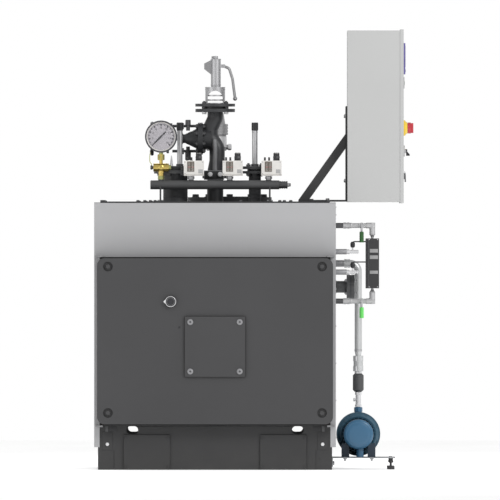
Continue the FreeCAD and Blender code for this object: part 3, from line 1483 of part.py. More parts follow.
def write_pieces():
    """Write each sub-part to its own STEP file."""
    os.makedirs("parts", exist_ok=True)
    for item in PIECES:
        item.Shape.exportStep(f"parts/{item.Label}.step")
        box = item.Shape.BoundBox
        sizes = f"{box.XLength:.1f} {box.YLength:.1f} {box.ZLength:.1f}"
        print(f"{item.Label}: {len(item.Shape.Solids)} solid(s), {sizes}")


def main():
    """Build every sub-part, check the document and write the files."""
    make_base()
    make_boiler_body()
    make_casing()
    make_flue()
    make_door()
    make_hinges()
    make_top()
    make_header()
    make_pots()
    make_steam_valve()
    make_safety_valve()
    make_gauge()
    make_switches()
    make_vent_valve()
    make_bracket()
    make_cabinet()
    make_cabinet_fittings()
    make_level_gauge()
    make_probes()
    make_blowdown()
    make_feed_line()
    make_pump()
    make_support()
    DOCUMENT.recompute()
    check_document()
    write_pieces()


main()
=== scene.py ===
"""Finishes and small parts of an industrial steam boiler, built round its main parts.

Every size and place in this file is in millimetres until a mesh is made, and a mesh is in metres.
"""

import json
import logging
import math
from dataclasses import dataclass
from enum import Enum
from typing import Iterator, Optional, Sequence, Union

import bmesh
import bpy
from mathutils import Matrix, Vector


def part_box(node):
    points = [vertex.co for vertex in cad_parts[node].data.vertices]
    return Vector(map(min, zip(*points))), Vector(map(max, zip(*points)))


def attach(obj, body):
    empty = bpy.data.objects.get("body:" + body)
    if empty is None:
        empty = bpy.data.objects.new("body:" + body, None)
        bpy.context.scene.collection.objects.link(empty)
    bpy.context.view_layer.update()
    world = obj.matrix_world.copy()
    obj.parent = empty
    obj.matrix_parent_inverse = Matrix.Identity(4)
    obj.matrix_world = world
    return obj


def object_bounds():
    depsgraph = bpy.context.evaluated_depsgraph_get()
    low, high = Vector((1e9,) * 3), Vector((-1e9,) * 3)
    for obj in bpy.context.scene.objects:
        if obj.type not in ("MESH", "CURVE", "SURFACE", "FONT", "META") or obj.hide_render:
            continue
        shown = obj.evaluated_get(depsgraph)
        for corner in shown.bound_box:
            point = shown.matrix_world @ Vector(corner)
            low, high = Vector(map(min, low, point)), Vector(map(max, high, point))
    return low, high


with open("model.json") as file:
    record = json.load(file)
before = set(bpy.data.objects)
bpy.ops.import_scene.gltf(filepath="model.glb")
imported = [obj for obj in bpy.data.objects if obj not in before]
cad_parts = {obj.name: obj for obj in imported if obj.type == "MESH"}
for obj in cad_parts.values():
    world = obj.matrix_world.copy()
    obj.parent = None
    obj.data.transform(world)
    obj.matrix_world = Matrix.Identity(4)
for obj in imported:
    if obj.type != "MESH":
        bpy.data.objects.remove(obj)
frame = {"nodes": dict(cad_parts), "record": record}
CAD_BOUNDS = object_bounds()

LOG = logging.getLogger("boiler")
METRE = 1000.0
SMOOTH_ANGLE = math.radians(34)
BEVEL_ANGLE = math.radians(40)
DECK = 1249.0  # the upper face of the top plate
FURNACE_LEVEL = 573.0  # the furnace's axis above the floor
SIDES = (-1, 1)
Point = tuple[float, float, float]
Colour = tuple[float, float, float]
Number = Union["Socket", float]
Place = Sequence[float]
Profile = Sequence[tuple[float, float]]
Settings = Optional[dict[str, object]]
Inputs = Optional[dict[Union[str, int], object]]


class Body(Enum):
    """The bodies that pieces ride on."""

    BOILER = "boiler"
    FRONT_DOOR = "front_door"
    CABINET_DOOR = "cabinet_door"
    SELECTOR = "selector"
    HANDWHEEL = "handwheel"
    COCK_UPPER = "cock_upper"
    COCK_LOWER = "cock_lower"


class Axis(Enum):
    """The way that a turned part points; its value turns +Z that way."""

    UP = Matrix.Identity(3)
    DOWN = Matrix.Rotation(math.pi, 3, "X")
    RIGHT = Matrix.Rotation(math.pi / 2, 3, "Y")
    LEFT = Matrix.Rotation(-math.pi / 2, 3, "Y")
    BACK = Matrix.Rotation(-math.pi / 2, 3, "X")
    FRONT = Matrix.Rotation(math.pi / 2, 3, "X")


# --- Shader graphs


def add_node(
    tree: bpy.types.NodeTree, kind: str, settings: Settings = None, sockets: Inputs = None
) -> bpy.types.Node:
    """Add a node to a tree.

    Args:
        tree: the tree.
        kind: the node's type.
        settings: properties to set first, such as an operation or a ramp's stops.
        sockets: values or links of its inputs.

    Returns:
        The node.
    """
    made = tree.nodes.new(kind)
    for name, value in (settings or {}).items():
        if name == "stops":
            set_stops(made.color_ramp, value)
        else:
            setattr(made, name, value)
    for name, value in (sockets or {}).items():
        feed(tree, made.inputs[name], value)
    return made


def feed(tree: bpy.types.NodeTree, target: bpy.types.NodeSocket, value: object) -> None:
    """Link an input to a socket, or set it to a plain value."""
    if isinstance(value, (Socket, bpy.types.NodeSocket)):
        tree.links.new(getattr(value, "link", value), target)
    else:
        target.default_value = value


def set_stops(ramp: bpy.types.ColorRamp, stops: Sequence[tuple[float, Colour]]) -> None:
    """Set a ramp's stops, each a place and a colour."""
    while len(ramp.elements) < len(stops):
        ramp.elements.new(0.5)
    for element, (place, colour) in zip(ramp.elements, stops):
        element.position = place
        element.color = (*colour, 1.0)


class Socket:
    """A shader socket that takes part in arithmetic."""

    def __init__(self, graph: "Graph", link: bpy.types.NodeSocket) -> None:
        """Keep the socket and the graph that its Math nodes go in."""
        self.graph = graph
        self.link = link

    def _math(self, operation: str, first: Number, second: Number, clamp: bool = False) -> "Socket":
        """Add one Math node.

        Args:
            operation: the node's operation.
            first: its first value.
            second: its second value.
            clamp: whether the result is kept between 0 and 1.

        Returns:
            The node's result.
        """
        settings = {"operation": operation, "use_clamp": clamp}
        return self.graph.node("ShaderNodeMath", settings, {0: first, 1: second})

    def __add__(self, other: Number) -> "Socket":
        """Add."""
        return self._math("ADD", self, other)

    __radd__ = __add__

    def __sub__(self, other: Number) -> "Socket":
        """Subtract."""
        return self._math("SUBTRACT", self, other)

    def __rsub__(self, other: Number) -> "Socket":
        """Subtract from a number."""
        return self._math("SUBTRACT", other, self)

    def __mul__(self, other: Number) -> "Socket":
        """Multiply."""
        return self._math("MULTIPLY", self, other)

    __rmul__ = __mul__

    def __truediv__(self, other: Number) -> "Socket":
        """Divide."""
        return self._math("DIVIDE", self, other)

    def __rtruediv__(self, other: Number) -> "Socket":
        """Divide a number."""
        return self._math("DIVIDE", other, self)

    def clamped(self) -> "Socket":
        """Keep between 0 and 1."""
        return self._math("ADD", self, 0.0, clamp=True)


class Graph:
    """The nodes of one material."""

    def __init__(self, name: str) -> None:
        """Start a material with only a Principled shader and its output."""
        self.material = bpy.data.materials.new(name)
        self.material.use_nodes = True
        self.tree = self.material.node_tree
        self.tree.nodes.clear()
        self.shader = self.tree.nodes.new("ShaderNodeBsdfPrincipled")
        output = self.tree.nodes.new("ShaderNodeOutputMaterial")
        self.tree.links.new(self.shader.outputs["BSDF"], output.inputs["Surface"])
        self.coordinates = self.node("ShaderNodeTexCoord", output="Object")

    def node(
        self, kind: str, settings: Settings = None, sockets: Inputs = None, output: Union[str, int] = 0
    ) -> Socket:
        """Add a node to the material.

        Args:
            kind: the node's type.
            settings: properties to set first.
            sockets: values or links of its inputs.
            output: the output to return.

        Returns:
            That output.
        """
        return Socket(self, add_node(self.tree, kind, settings, sockets).outputs[output])

    def noise(self, scale: float, detail: float = 2.0, stretch: Point = (1.0, 1.0, 1.0)) -> Socket:
        """Give noise between 0 and 1 over the object's own space.

        Args:
            scale: grains a metre.
            detail: octaves.
            stretch: how much closer the grains lie along each axis.

        Returns:
            The noise.
        """
        place = self.node(
            "ShaderNodeVectorMath", {"operation": "MULTIPLY"}, {0: self.coordinates, 1: stretch}
        )
        return self.node("ShaderNodeTexNoise", {}, {"Vector": place, "Scale": scale, "Detail": detail})

    def spread(self, source: Socket, low: float, high: float) -> Socket:
        """Map a middle-heavy 0 to 1 value onto a range."""
        return ((source - 0.3) * 2.5).clamped() * (high - low) + low

    def height(self) -> Socket:
        """Give the height above the floor, in metres."""
        return self.node("ShaderNodeSeparateXYZ", {}, {0: self.coordinates}, output="Z")

    def blend(self, factor: Number, first: object, second: object) -> Socket:
        """Mix two colours.

        Args:
            factor: how much of the second.
            first: a colour, or a socket.
            second: a colour, or a socket.

        Returns:
            The mixed colour.
        """
        ends = [value if isinstance(value, Socket) else (*value, 1.0) for value in (first, second)]
        return self.node(
            "ShaderNodeMix", {"data_type": "RGBA"}, {0: factor, 6: ends[0], 7: ends[1]}, output=2
        )

    def bump(self, height: Socket, distance: float, strength: float = 1.0) -> None:
        """Feed the shader's Normal from a height.

        Args:
            height: the height, 0 to 1.
            distance: what 1 stands for, in millimetres.
            strength: how much of the effect is used.
        """
        sockets = {"Strength": strength, "Distance": distance / METRE, "Height": height}
        feed(self.tree, self.shader.inputs["Normal"], self.node("ShaderNodeBump", {}, sockets))

    def set(self, **values: object) -> None:
        """Set or link inputs of the shader; an underscore in a name stands for a space."""
        for name, value in values.items():
            plain = (*value, 1.0) if isinstance(value, tuple) else value
            feed(self.tree, self.shader.inputs[name.replace("_", " ")], plain)


DUST: Colour = (0.20, 0.185, 0.165)
DUST_REACH = 0.16  # metres above the floor
SCORCH: Colour = (0.16, 0.12, 0.09)
BAND_SHADE: Colour = (0.02, 0.02, 0.02)
DOOR_SHADE: Colour = (0.004, 0.004, 0.004)
EVEN_MARKS: Point = (1.0, 1.0, 1.0)


def shade(colour: Colour, factor: float) -> Colour:
    """Scale a colour."""
    return tuple(min(1.0, part * factor) for part in colour)


# --- Finishes


@dataclass(frozen=True)
class Finish:
    """A surface finish: its name, its colour and how rough it is."""

    name: str
    colour: Colour
    roughness: float = 0.5

    def build(self, graph: Graph) -> None:
        """Fill in the graph; each kind of finish does it in its own way."""
        raise NotImplementedError

    def material(self) -> bpy.types.Material:
        """Return the finish's material, made once, under a name that no slot of the frame has."""
        name = f"{self.name}_finish"
        found = bpy.data.materials.get(name)
        if found is None:
            graph = Graph(name)
            self.build(graph)
            found = graph.material
            found.diffuse_color = (*self.colour, 1.0)
        return found


@dataclass(frozen=True)
class Paint(Finish):
    """Sprayed or powder-coated paint, with its orange peel, a little mottling and dust low down."""

    metal: float = 0.0
    peel: float = 0.05
    mottle: float = 0.05
    fleck: float = 0.0
    coat: float = 0.0
    dust: float = 0.25

    def build(self, graph: Graph) -> None:
        """Mottle the colour, dust the lowest part, add any painted shade, and roll the surface gently."""
        cloud = graph.spread(graph.noise(2.2, 4.0), 0.0, 1.0)
        speck = graph.spread(graph.noise(1400.0, 1.0), 0.0, 1.0)
        base = graph.blend(cloud, shade(self.colour, 1 - self.mottle), shade(self.colour, 1 + self.mottle))
        base = graph.blend(speck * self.fleck, base, shade(self.colour, 1.45))
        low = (1.0 - graph.height() / DUST_REACH).clamped() * graph.spread(graph.noise(9.0, 5.0), 0.2, 1.0)
        # The band's and the door's paints add their painted shade here.
        base = self.tint(graph, graph.blend(low * self.dust, base, DUST))
        grain = graph.noise(620.0, 2.0)
        graph.set(Base_Color=base, Metallic=self.metal, Coat_Weight=self.coat, Coat_Roughness=0.2)
        graph.set(
            Roughness=graph.spread(graph.noise(5.0, 3.0), self.roughness - 0.04, self.roughness + 0.05)
        )
        graph.bump(grain, self.peel)

    def tint(self, graph: Graph, base: Socket) -> Socket:
        """Return the colour as it is; a paint with painted shade darkens it here."""
        return base


@dataclass(frozen=True)
class BandPaint(Paint):
    """The bright paint of the front band, with painted shade that darkens it towards its lower edge and its
    middle.
    """

    low: float = 0.99
    high: float = 1.17
    reach: float = 0.62
    depth: float = 0.27

    def tint(self, graph: Graph, base: Socket) -> Socket:
        """Darken the paint with painted shade low down, most of all in the middle."""
        across = graph.node("ShaderNodeSeparateXYZ", {}, {0: graph.coordinates}, output="X")
        # Painted shade: the fall and the centre masks darken the band towards BAND_SHADE.
        fall = (1.0 - (graph.height() - self.low) / (self.high - self.low)).clamped()
        centre = (1.0 - (across / self.reach) * (across / self.reach)).clamped()
        return graph.blend(fall * (centre * 0.5 + 0.5) * self.depth, base, BAND_SHADE)


@dataclass(frozen=True)
class DoorPaint(Paint):
    """The dark paint of the door and its cover plate, with painted shade that makes it a little darker in the
    corners.
    """

    gather: float = 0.045
    depth: float = 0.9

    def tint(self, graph: Graph, base: Socket) -> Socket:
        """Darken the paint with painted shade close to whatever stands up from it."""
        settings = {"samples": 8}
        # Painted shade: ambient occlusion darkens the colour towards DOOR_SHADE.
        open_sky = graph.node(
            "ShaderNodeAmbientOcclusion", settings, {"Distance": self.gather}, output="AO"
        )
        return graph.blend((1.0 - open_sky) * self.depth, base, DOOR_SHADE)


@dataclass(frozen=True)
class Casting(Finish):
    """Painted cast iron: a sandy skin with uneven sheen."""

    grain: float = 260.0
    depth: float = 0.35

    def build(self, graph: Graph) -> None:
        """Pit the surface and vary its sheen."""
        patch = graph.spread(graph.noise(14.0, 4.0), 0.0, 1.0)
        graph.set(Base_Color=graph.blend(patch, shade(self.colour, 0.86), shade(self.colour, 1.16)))
        graph.set(
            Roughness=graph.spread(graph.noise(22.0, 3.0), self.roughness - 0.06, self.roughness + 0.08)
        )
        skin = graph.noise(self.grain, 3.0) * 0.7 + graph.noise(self.grain * 4, 1.0) * 0.3
        graph.bump(skin, self.depth)


@dataclass(frozen=True)
class Metal(Finish):
    """Bare or plated metal with fine tool marks along one axis."""

    marks: Point = (1.0, 1.0, 8.0)
    tarnish: Colour = (0.3, 0.3, 0.3)
    tarnished: float = 0.25
    metal: float = 0.9

    def build(self, graph: Graph) -> None:
        """Streak the sheen, and dull the colour in patches."""
        streak = graph.noise(420.0, 2.0, self.marks)
        patch = graph.spread(graph.noise(26.0, 4.0), 0.0, 1.0) * self.tarnished
        graph.set(Base_Color=graph.blend(patch, self.colour, self.tarnish), Metallic=self.metal)
        graph.set(Roughness=graph.spread(streak, self.roughness - 0.07, self.roughness + 0.1))
        graph.bump(streak, 0.015)


@dataclass(frozen=True)
class Plastic(Finish):
    """Moulded plastic with a fine spark-eroded texture."""

    texture: float = 0.06
    coat: float = 0.0

    def build(self, graph: Graph) -> None:
        """Texture the surface evenly."""
        patch = graph.spread(graph.noise(30.0, 2.0), 0.0, 1.0)
        graph.set(Base_Color=graph.blend(patch, shade(self.colour, 0.95), shade(self.colour, 1.05)))
        graph.set(
            Roughness=graph.spread(graph.noise(60.0, 2.0), self.roughness - 0.03, self.roughness + 0.04)
        )
        graph.set(Coat_Weight=self.coat, Coat_Roughness=0.12)
        graph.bump(graph.noise(1500.0, 1.0), self.texture)


@dataclass(frozen=True)
class Refractory(Finish):
    """Cast refractory: chalky, with darker grains of aggregate and scorching."""

    def build(self, graph: Graph) -> None:
        """Scatter the aggregate and pit the surface."""
        settings = {"stops": [(0.35, shade(self.colour, 0.55)), (0.5, self.colour)]}
        grains = graph.node("ShaderNodeValToRGB", settings, {0: graph.noise(180.0, 3.0)})
        scorch = graph.spread(graph.noise(7.0, 4.0), 0.0, 0.5)
        graph.set(Base_Color=graph.blend(scorch, grains, SCORCH), Roughness=self.roughness)
        graph.bump(graph.noise(130.0, 5.0), 1.2)


@dataclass(frozen=True)
class Glass(Finish):
    """Clear glass, as a thin clear sheet."""

    alpha: float = 0.03

    def build(self, graph: Graph) -> None:
        """Make the sheet nearly clear, with a little uneven gloss."""
        graph.set(Base_Color=self.colour, Alpha=self.alpha, IOR=1.2)
        graph.set(Roughness=graph.spread(graph.noise(12.0, 2.0), 0.02, 0.06))


SILVER = Paint(
    "casing_silver", (0.36, 0.36, 0.368), 0.42, metal=0.2, fleck=0.25, peel=0.03, mottle=0.02, dust=0.1
)
# The band's paint carries painted shade towards its lower edge and its middle.
BAND_SILVER = BandPaint(
    "band_silver", (0.380, 0.380, 0.388), 0.42, metal=0.2, fleck=0.25, peel=0.03, mottle=0.02
)
# The door's paint carries painted shade from ambient occlusion near raised parts.
GRAPHITE = DoorPaint("door_graphite", (0.0435, 0.0435, 0.0455), 0.5, peel=0.07, mottle=0.05)
FRAME_GRAPHITE = Paint("base_graphite", (0.028, 0.028, 0.029), 0.55, peel=0.08, mottle=0.07, dust=0.06)
COVER_GRAPHITE = Paint("cover_graphite", (0.026, 0.026, 0.027), 0.55, peel=0.08, mottle=0.07, dust=0.06)
HINGE_GREY = Paint("hinge_grey", (0.20, 0.20, 0.205), 0.5, peel=0.06, mottle=0.08, dust=0.0)
BLACK_STEEL = Paint("black_steel", (0.018, 0.018, 0.020), 0.5, peel=0.07, mottle=0.1, dust=0.1)
HEADER_PAINT = Paint("header_paint", (0.068, 0.069, 0.071), 0.45, peel=0.06, mottle=0.07)
VALVE_IRON = Casting("valve_iron", (0.030, 0.031, 0.034), 0.46)
# A lighter copy of the valve iron: the rib's painted highlight.
VALVE_RIB_HIGHLIGHT = Casting("valve_rib_highlight", (0.19, 0.192, 0.198), 0.42)
FLANGE_IRON = Casting("flange_iron", (0.085, 0.087, 0.090), 0.45, depth=0.2)
POT_IRON = Casting("pot_iron", (0.058, 0.060, 0.064), 0.48, depth=0.2)
ZINC = Metal("zinc_plate", (0.48, 0.48, 0.49), 0.36, tarnish=(0.32, 0.32, 0.33), metal=0.7)
BRIGHT = Metal("bright_fitting", (0.74, 0.74, 0.75), 0.38, tarnish=(0.58, 0.58, 0.59), metal=0.35)
PIPE_ZINC = Metal("pipe_zinc", (0.50, 0.50, 0.505), 0.40, tarnish=(0.38, 0.38, 0.39), metal=0.45)
DULL_ZINC = Metal("dull_zinc", (0.30, 0.30, 0.31), 0.5, tarnish=(0.20, 0.20, 0.21), metal=0.5)
STAINLESS = Metal(
    "stainless_tube", (0.52, 0.52, 0.53), 0.34, marks=(1.0, 1.0, 0.15), tarnished=0.1, metal=0.75
)
SAFETY_SILVER = Metal(
    "safety_silver", (0.47, 0.47, 0.48), 0.40, marks=EVEN_MARKS, tarnish=(0.38, 0.38, 0.39), metal=0.75
)
LEVER_STEEL = Metal(
    "lever_steel", (0.30, 0.30, 0.305), 0.42, marks=EVEN_MARKS, tarnish=(0.22, 0.22, 0.23), metal=0.6
)
VENT_SILVER = Metal(
    "vent_silver", (0.40, 0.40, 0.405), 0.44, marks=EVEN_MARKS, tarnish=(0.30, 0.30, 0.31), metal=0.5
)
DARK_STEEL = Metal("dark_steel", (0.11, 0.11, 0.115), 0.42, tarnish=(0.05, 0.05, 0.05), metal=0.7)
FEED_STEEL = Metal("feed_tube", (0.60, 0.61, 0.61), 0.34, tarnish=(0.48, 0.49, 0.49), metal=0.55)
BRASS = Metal(
    "turned_brass", (0.74, 0.55, 0.17), 0.3, tarnish=(0.42, 0.34, 0.10), tarnished=0.5, metal=0.95
)
BRASS_GREEN = Metal(
    "patinated_brass", (0.50, 0.50, 0.20), 0.36, tarnish=(0.34, 0.38, 0.16), tarnished=0.6, metal=0.9
)
CABINET_GREY = Paint("cabinet_grey", (0.44, 0.443, 0.44), 0.5, peel=0.06, mottle=0.012, dust=0.0)
CABINET_EDGE = Paint("cabinet_edge", (0.42, 0.42, 0.42), 0.5, peel=0.06, mottle=0.012, dust=0.0)
SWITCH_WHITE = Plastic("switch_white", (0.74, 0.72, 0.69), 0.42)
BLACK_PLASTIC = Plastic("black_plastic", (0.018, 0.018, 0.02), 0.42)
HANDLE_GREY = Plastic("handle_grey", (0.12, 0.12, 0.125), 0.4)
WINDOW_BROWN = Plastic("window_brown", (0.13, 0.11, 0.09), 0.15, texture=0.01, coat=0.8)
SCALE_WHITE = Plastic("scale_white", (0.66, 0.64, 0.60), 0.5, texture=0.01)
DIAL_WHITE = Plastic("dial_white", (0.375, 0.355, 0.38), 0.45, texture=0.01)
INK = Plastic("dial_ink", (0.012, 0.011, 0.016), 0.5, texture=0.01)
BEZEL = Metal("gauge_bezel", (0.09, 0.09, 0.10), 0.35, tarnish=(0.05, 0.05, 0.055), metal=0.7)
YELLOW = Plastic("switch_yellow", (0.78, 0.55, 0.05), 0.35, coat=0.3)
RED = Plastic("switch_red", (0.48, 0.035, 0.05), 0.32, coat=0.3)
VIOLET = Plastic("screen_frame", (0.13, 0.11, 0.32), 0.35, coat=0.2)
SCREEN = Plastic("screen_glass", (0.012, 0.013, 0.02), 0.12, texture=0.0, coat=1.0)
GREEN_DARK = Plastic("lever_green_dark", (0.026, 0.105, 0.024), 0.4)
GREEN = Plastic("lever_green", (0.14, 0.66, 0.13), 0.4)
BAR_GREY = Plastic("gauge_bar_grey", (0.30, 0.30, 0.30), 0.35)
PUMP_BLUE = Paint("pump_blue", (0.032, 0.120, 0.220), 0.36, peel=0.08, mottle=0.06, coat=0.2, dust=0.1)
PUMP_DEEP = Paint("pump_deep_blue", (0.030, 0.088, 0.135), 0.4, peel=0.12, mottle=0.08, coat=0.2, dust=0.1)
FOOT_NAVY = Paint("foot_navy", (0.014, 0.030, 0.052), 0.45, peel=0.1, mottle=0.08, dust=0.1)
GALVANISED = Metal(
    "galvanised", (0.38, 0.39, 0.40), 0.45, marks=EVEN_MARKS, tarnish=(0.27, 0.28, 0.29), tarnished=0.6
)
REFRACTORY = Refractory("refractory", (0.52, 0.46, 0.37), 0.9)
SOOT = Casting("sooted_steel", (0.018, 0.016, 0.015), 0.8)
CLEAR = Glass("clear_glass", (0.95, 0.97, 1.0))


# --- Mesh making


@dataclass(frozen=True)
class Span:
    """A box, by its lowest and highest corners."""

    low: Vector
    high: Vector

    @property
    def middle(self) -> Vector:
        """Its centre."""
        return (self.low + self.high) / 2

    @property
    def size(self) -> Vector:
        """Its three sizes."""
        return self.high - self.low


def box_of(node: str) -> Span:
    """Return the box of a node of the frame, in millimetres."""
    low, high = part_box(node)
    return Span(low * METRE, high * METRE)


def around(centre: Place, axis: Axis, radius: float, count: int, offset: float = 0.5) -> Iterator[Vector]:
    """Give even places on a circle about an axis.

    Args:
        centre: the circle's centre.
        axis: the way that it faces.
        radius: its radius.
        count: how many places.
        offset: where the first one lies, in steps; a half straddles the centre lines.

    Yields:
        Each place.
    """
    for step in range(count):
        angle = 2 * math.pi * (step + offset) / count
        yield axis.value @ Vector((radius * math.cos(angle), radius * math.sin(angle), 0)) + Vector(centre)


def strips(
    outer: tuple[Sequence[float], Sequence[float]], inner: tuple[Sequence[float], Sequence[float]]
) -> Iterator[tuple[Sequence[float], Sequence[float]]]:
    """Give the four strips of a flat frame.

    Args:
        outer: the frame's lowest and highest corners.
        inner: its opening's lowest and highest corners.

    Yields:
        Each strip's lowest and highest corners.
    """
    low, high = outer
    near, far = inner
    yield low, (high[0], near[1])
    yield (low[0], far[1]), high
    yield (low[0], near[1]), (near[0], far[1])
    yield (far[0], near[1]), (high[0], far[1])


class Forge:
    """Collects the faces of one piece, each with its finish, and turns them into an object."""

    def __init__(self, name: str) -> None:
        """Start an empty piece."""
        self.name = name
        self.mesh = bmesh.new()
        self.finishes: list[Finish] = []

    def _slot(self, finish: Finish) -> int:
        """Return the material index of a finish, adding it when it is new."""
        if finish not in self.finishes:
            self.finishes.append(finish)
        return self.finishes.index(finish)

    def _faces(self, rings: Sequence[Sequence[Vector]], finish: Finish, closed: bool = False) -> None:
        """Skin a run of rings, with a cap on each end unless the run is closed."""
        slot = self._slot(finish)
        rows = [[self.mesh.verts.new(point) for point in ring] for ring in rings]
        pairs = list(zip(rows, rows[1:]))
        if closed:
            pairs.append((rows[-1], rows[0]))
        for lower, upper in pairs:
            count = len(lower)
            for turn in range(count):
                ahead = (turn + 1) % count
                corners = (lower[turn], lower[ahead], upper[ahead], upper[turn])
                self.mesh.faces.new(corners).material_index = slot
        if not closed:
            self.mesh.faces.new(list(reversed(rows[0]))).material_index = slot
            self.mesh.faces.new(rows[-1]).material_index = slot

    def lathe(
        self,
        finish: Finish,
        centre: Place,
        axis: Axis,
        profile: Profile,
        sides: int = 32,
        turn: float = 0.0,
    ) -> None:
        """Turn a profile about an axis.

        Args:
            finish: the finish of its faces.
            centre: where the profile's zero lies.
            axis: the way that it points.
            profile: pairs of place along the axis and radius, from the near end.
            sides: corners of each ring; 6 gives a hexagon.
            turn: the first corner's angle, in radians.
        """
        angles = [turn + 2 * math.pi * step / sides for step in range(sides)]
        rings = []
        for along, radius in profile:
            ring = [Vector((radius * math.cos(a), radius * math.sin(a), along)) for a in angles]
            rings.append([axis.value @ point + Vector(centre) for point in ring])
        self._faces(rings, finish)

    def tubular(
        self, finish: Finish, centre: Place, axis: Axis, section: Profile, sides: int = 48
    ) -> None:
        """Turn a closed section about an axis, which leaves a hole in the middle."""
        angles = [2 * math.pi * step / sides for step in range(sides)]
        rings = []
        for angle in angles:
            ring = [Vector((r * math.cos(angle), r * math.sin(angle), along)) for along, r in section]
            rings.append([axis.value @ point + Vector(centre) for point in ring])
        self._faces(rings, finish, closed=True)

    def block(self, finish: Finish, low: Sequence[float], high: Sequence[float], bevel: float = 0.0) -> None:
        """Make a box with softened edges."""
        low, high = Vector(low), Vector(high)
        made = bmesh.ops.create_cube(self.mesh, size=1.0)["verts"]
        for vert in made:
            vert.co = (low + high) / 2 + Vector(a * b for a, b in zip(vert.co, high - low))
        faces = {face for vert in made for face in vert.link_faces}
        for face in faces:
            face.material_index = self._slot(finish)
        if bevel:
            edges = list({edge for face in faces for edge in face.edges})
            bmesh.ops.bevel(self.mesh, geom=edges, offset=bevel, segments=2, profile=0.6, affect="EDGES")

    def sheet(self, finish: Finish, outline: Sequence[Sequence[float]], depth: Sequence[float]) -> None:
        """Make a flat part from a closed outline and the step to its other face."""
        near = [Vector(point) for point in outline]
        far = [point + Vector(depth) for point in near]
        self._faces([near, far], finish)

    def tube(self, finish: Finish, points: Sequence[Sequence[float]], radius: float, sides: int = 12) -> None:
        """Sweep a circle along a smooth line through points.

        Args:
            finish: the finish of its faces.
            points: the points that the line passes.
            radius: the tube's radius.
            sides: corners of the section.
        """
        line = smooth_line([Vector(point) for point in points])
        rings = []
        side = Vector((0, 0, 1))
        for index, point in enumerate(line):
            ahead = line[min(index + 1, len(line) - 1)] - line[max(index - 1, 0)]
            ahead.normalize()
            if index == 0 and abs(ahead.z) > 0.9:
                side = Vector((1, 0, 0))
            side = (side - ahead * side.dot(ahead)).normalized()
            other = ahead.cross(side)
            angles = [2 * math.pi * step / sides for step in range(sides)]
            rings.append([point + (side * math.cos(a) + other * math.sin(a)) * radius for a in angles])
        self._faces(rings, finish)

    def bolt(
        self, finish: Finish, centre: Place, axis: Axis, size: float, stud: float = 0.0, tall: float = 1.0
    ) -> None:
        """Make a washer and hexagon head, with the stud's end if it shows.

        Args:
            finish: the finish of its faces.
            centre: where the washer rests.
            axis: the way that the head points.
            size: the thread's diameter.
            stud: how far the thread stands out of the head.
            tall: the head's height, as a share of the usual one.
        """
        washer = size * 0.16 * tall
        top = washer + size * 0.66 * tall
        chamfer = size * 0.1 * tall
        self.lathe(finish, centre, axis, [(0, size), (washer, size)], 20)
        hexagon = [(washer, size * 0.88), (top - chamfer, size * 0.88), (top, size * 0.78)]
        self.lathe(finish, centre, axis, hexagon, 6)
        if stud:
            thread = [(top, size * 0.45), (top + stud, size * 0.45), (top + stud + 1, size * 0.36)]
            self.lathe(finish, centre, axis, thread, 12)

    def bolt_ring(
        self, finish: Finish, centre: Place, axis: Axis, radius: float, count: int, size: float, stud: float = 0.0
    ) -> None:
        """Make bolts on a circle, straddling the centre lines."""
        for place in around(centre, axis, radius, count):
            self.bolt(finish, place, axis, size, stud)

    def done(self, body: Body = Body.BOILER) -> None:
        """Make the object, and let it ride.

        Args:
            body: the body that it rides on.
        """
        bmesh.ops.recalc_face_normals(self.mesh, faces=self.mesh.faces)
        bmesh.ops.scale(self.mesh, vec=(1 / METRE,) * 3, verts=self.mesh.verts)
        data = bpy.data.meshes.new(self.name)
        self.mesh.to_mesh(data)
        self.mesh.free()
        for finish in self.finishes:
            data.materials.append(finish.material())
        data.polygons.foreach_set("use_smooth", [True] * len(data.polygons))
        data.set_sharp_from_angle(angle=SMOOTH_ANGLE)
        made = bpy.data.objects.new(self.name, data)
        bpy.context.scene.collection.objects.link(made)
        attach(made, body.value)
        LOG.info("%s: %d faces on %s", self.name, len(data.polygons), body.value)


def smooth_line(points: Sequence[Vector], steps: int = 6) -> list[Vector]:
    """Pass a smooth curve through points.

    Args:
        points: the points, in order.
        steps: how many pieces each run is cut into.

    Returns:
        The points along the curve.
    """
    if len(points) < 3:
        return list(points)
    line = []
    padded = [points[0]] + list(points) + [points[-1]]
    for a, b, c, d in zip(padded, padded[1:], padded[2:], padded[3:]):
        for step in range(steps):
            t = step / steps
            line.append(
                0.5 * (
                    2 * b + (c - a) * t + (2 * a - 5 * b + 4 * c - d) * t**2 + (3 * b - a - 3 * c + d) * t**3
                )
            )
    line.append(points[-1])
    return line


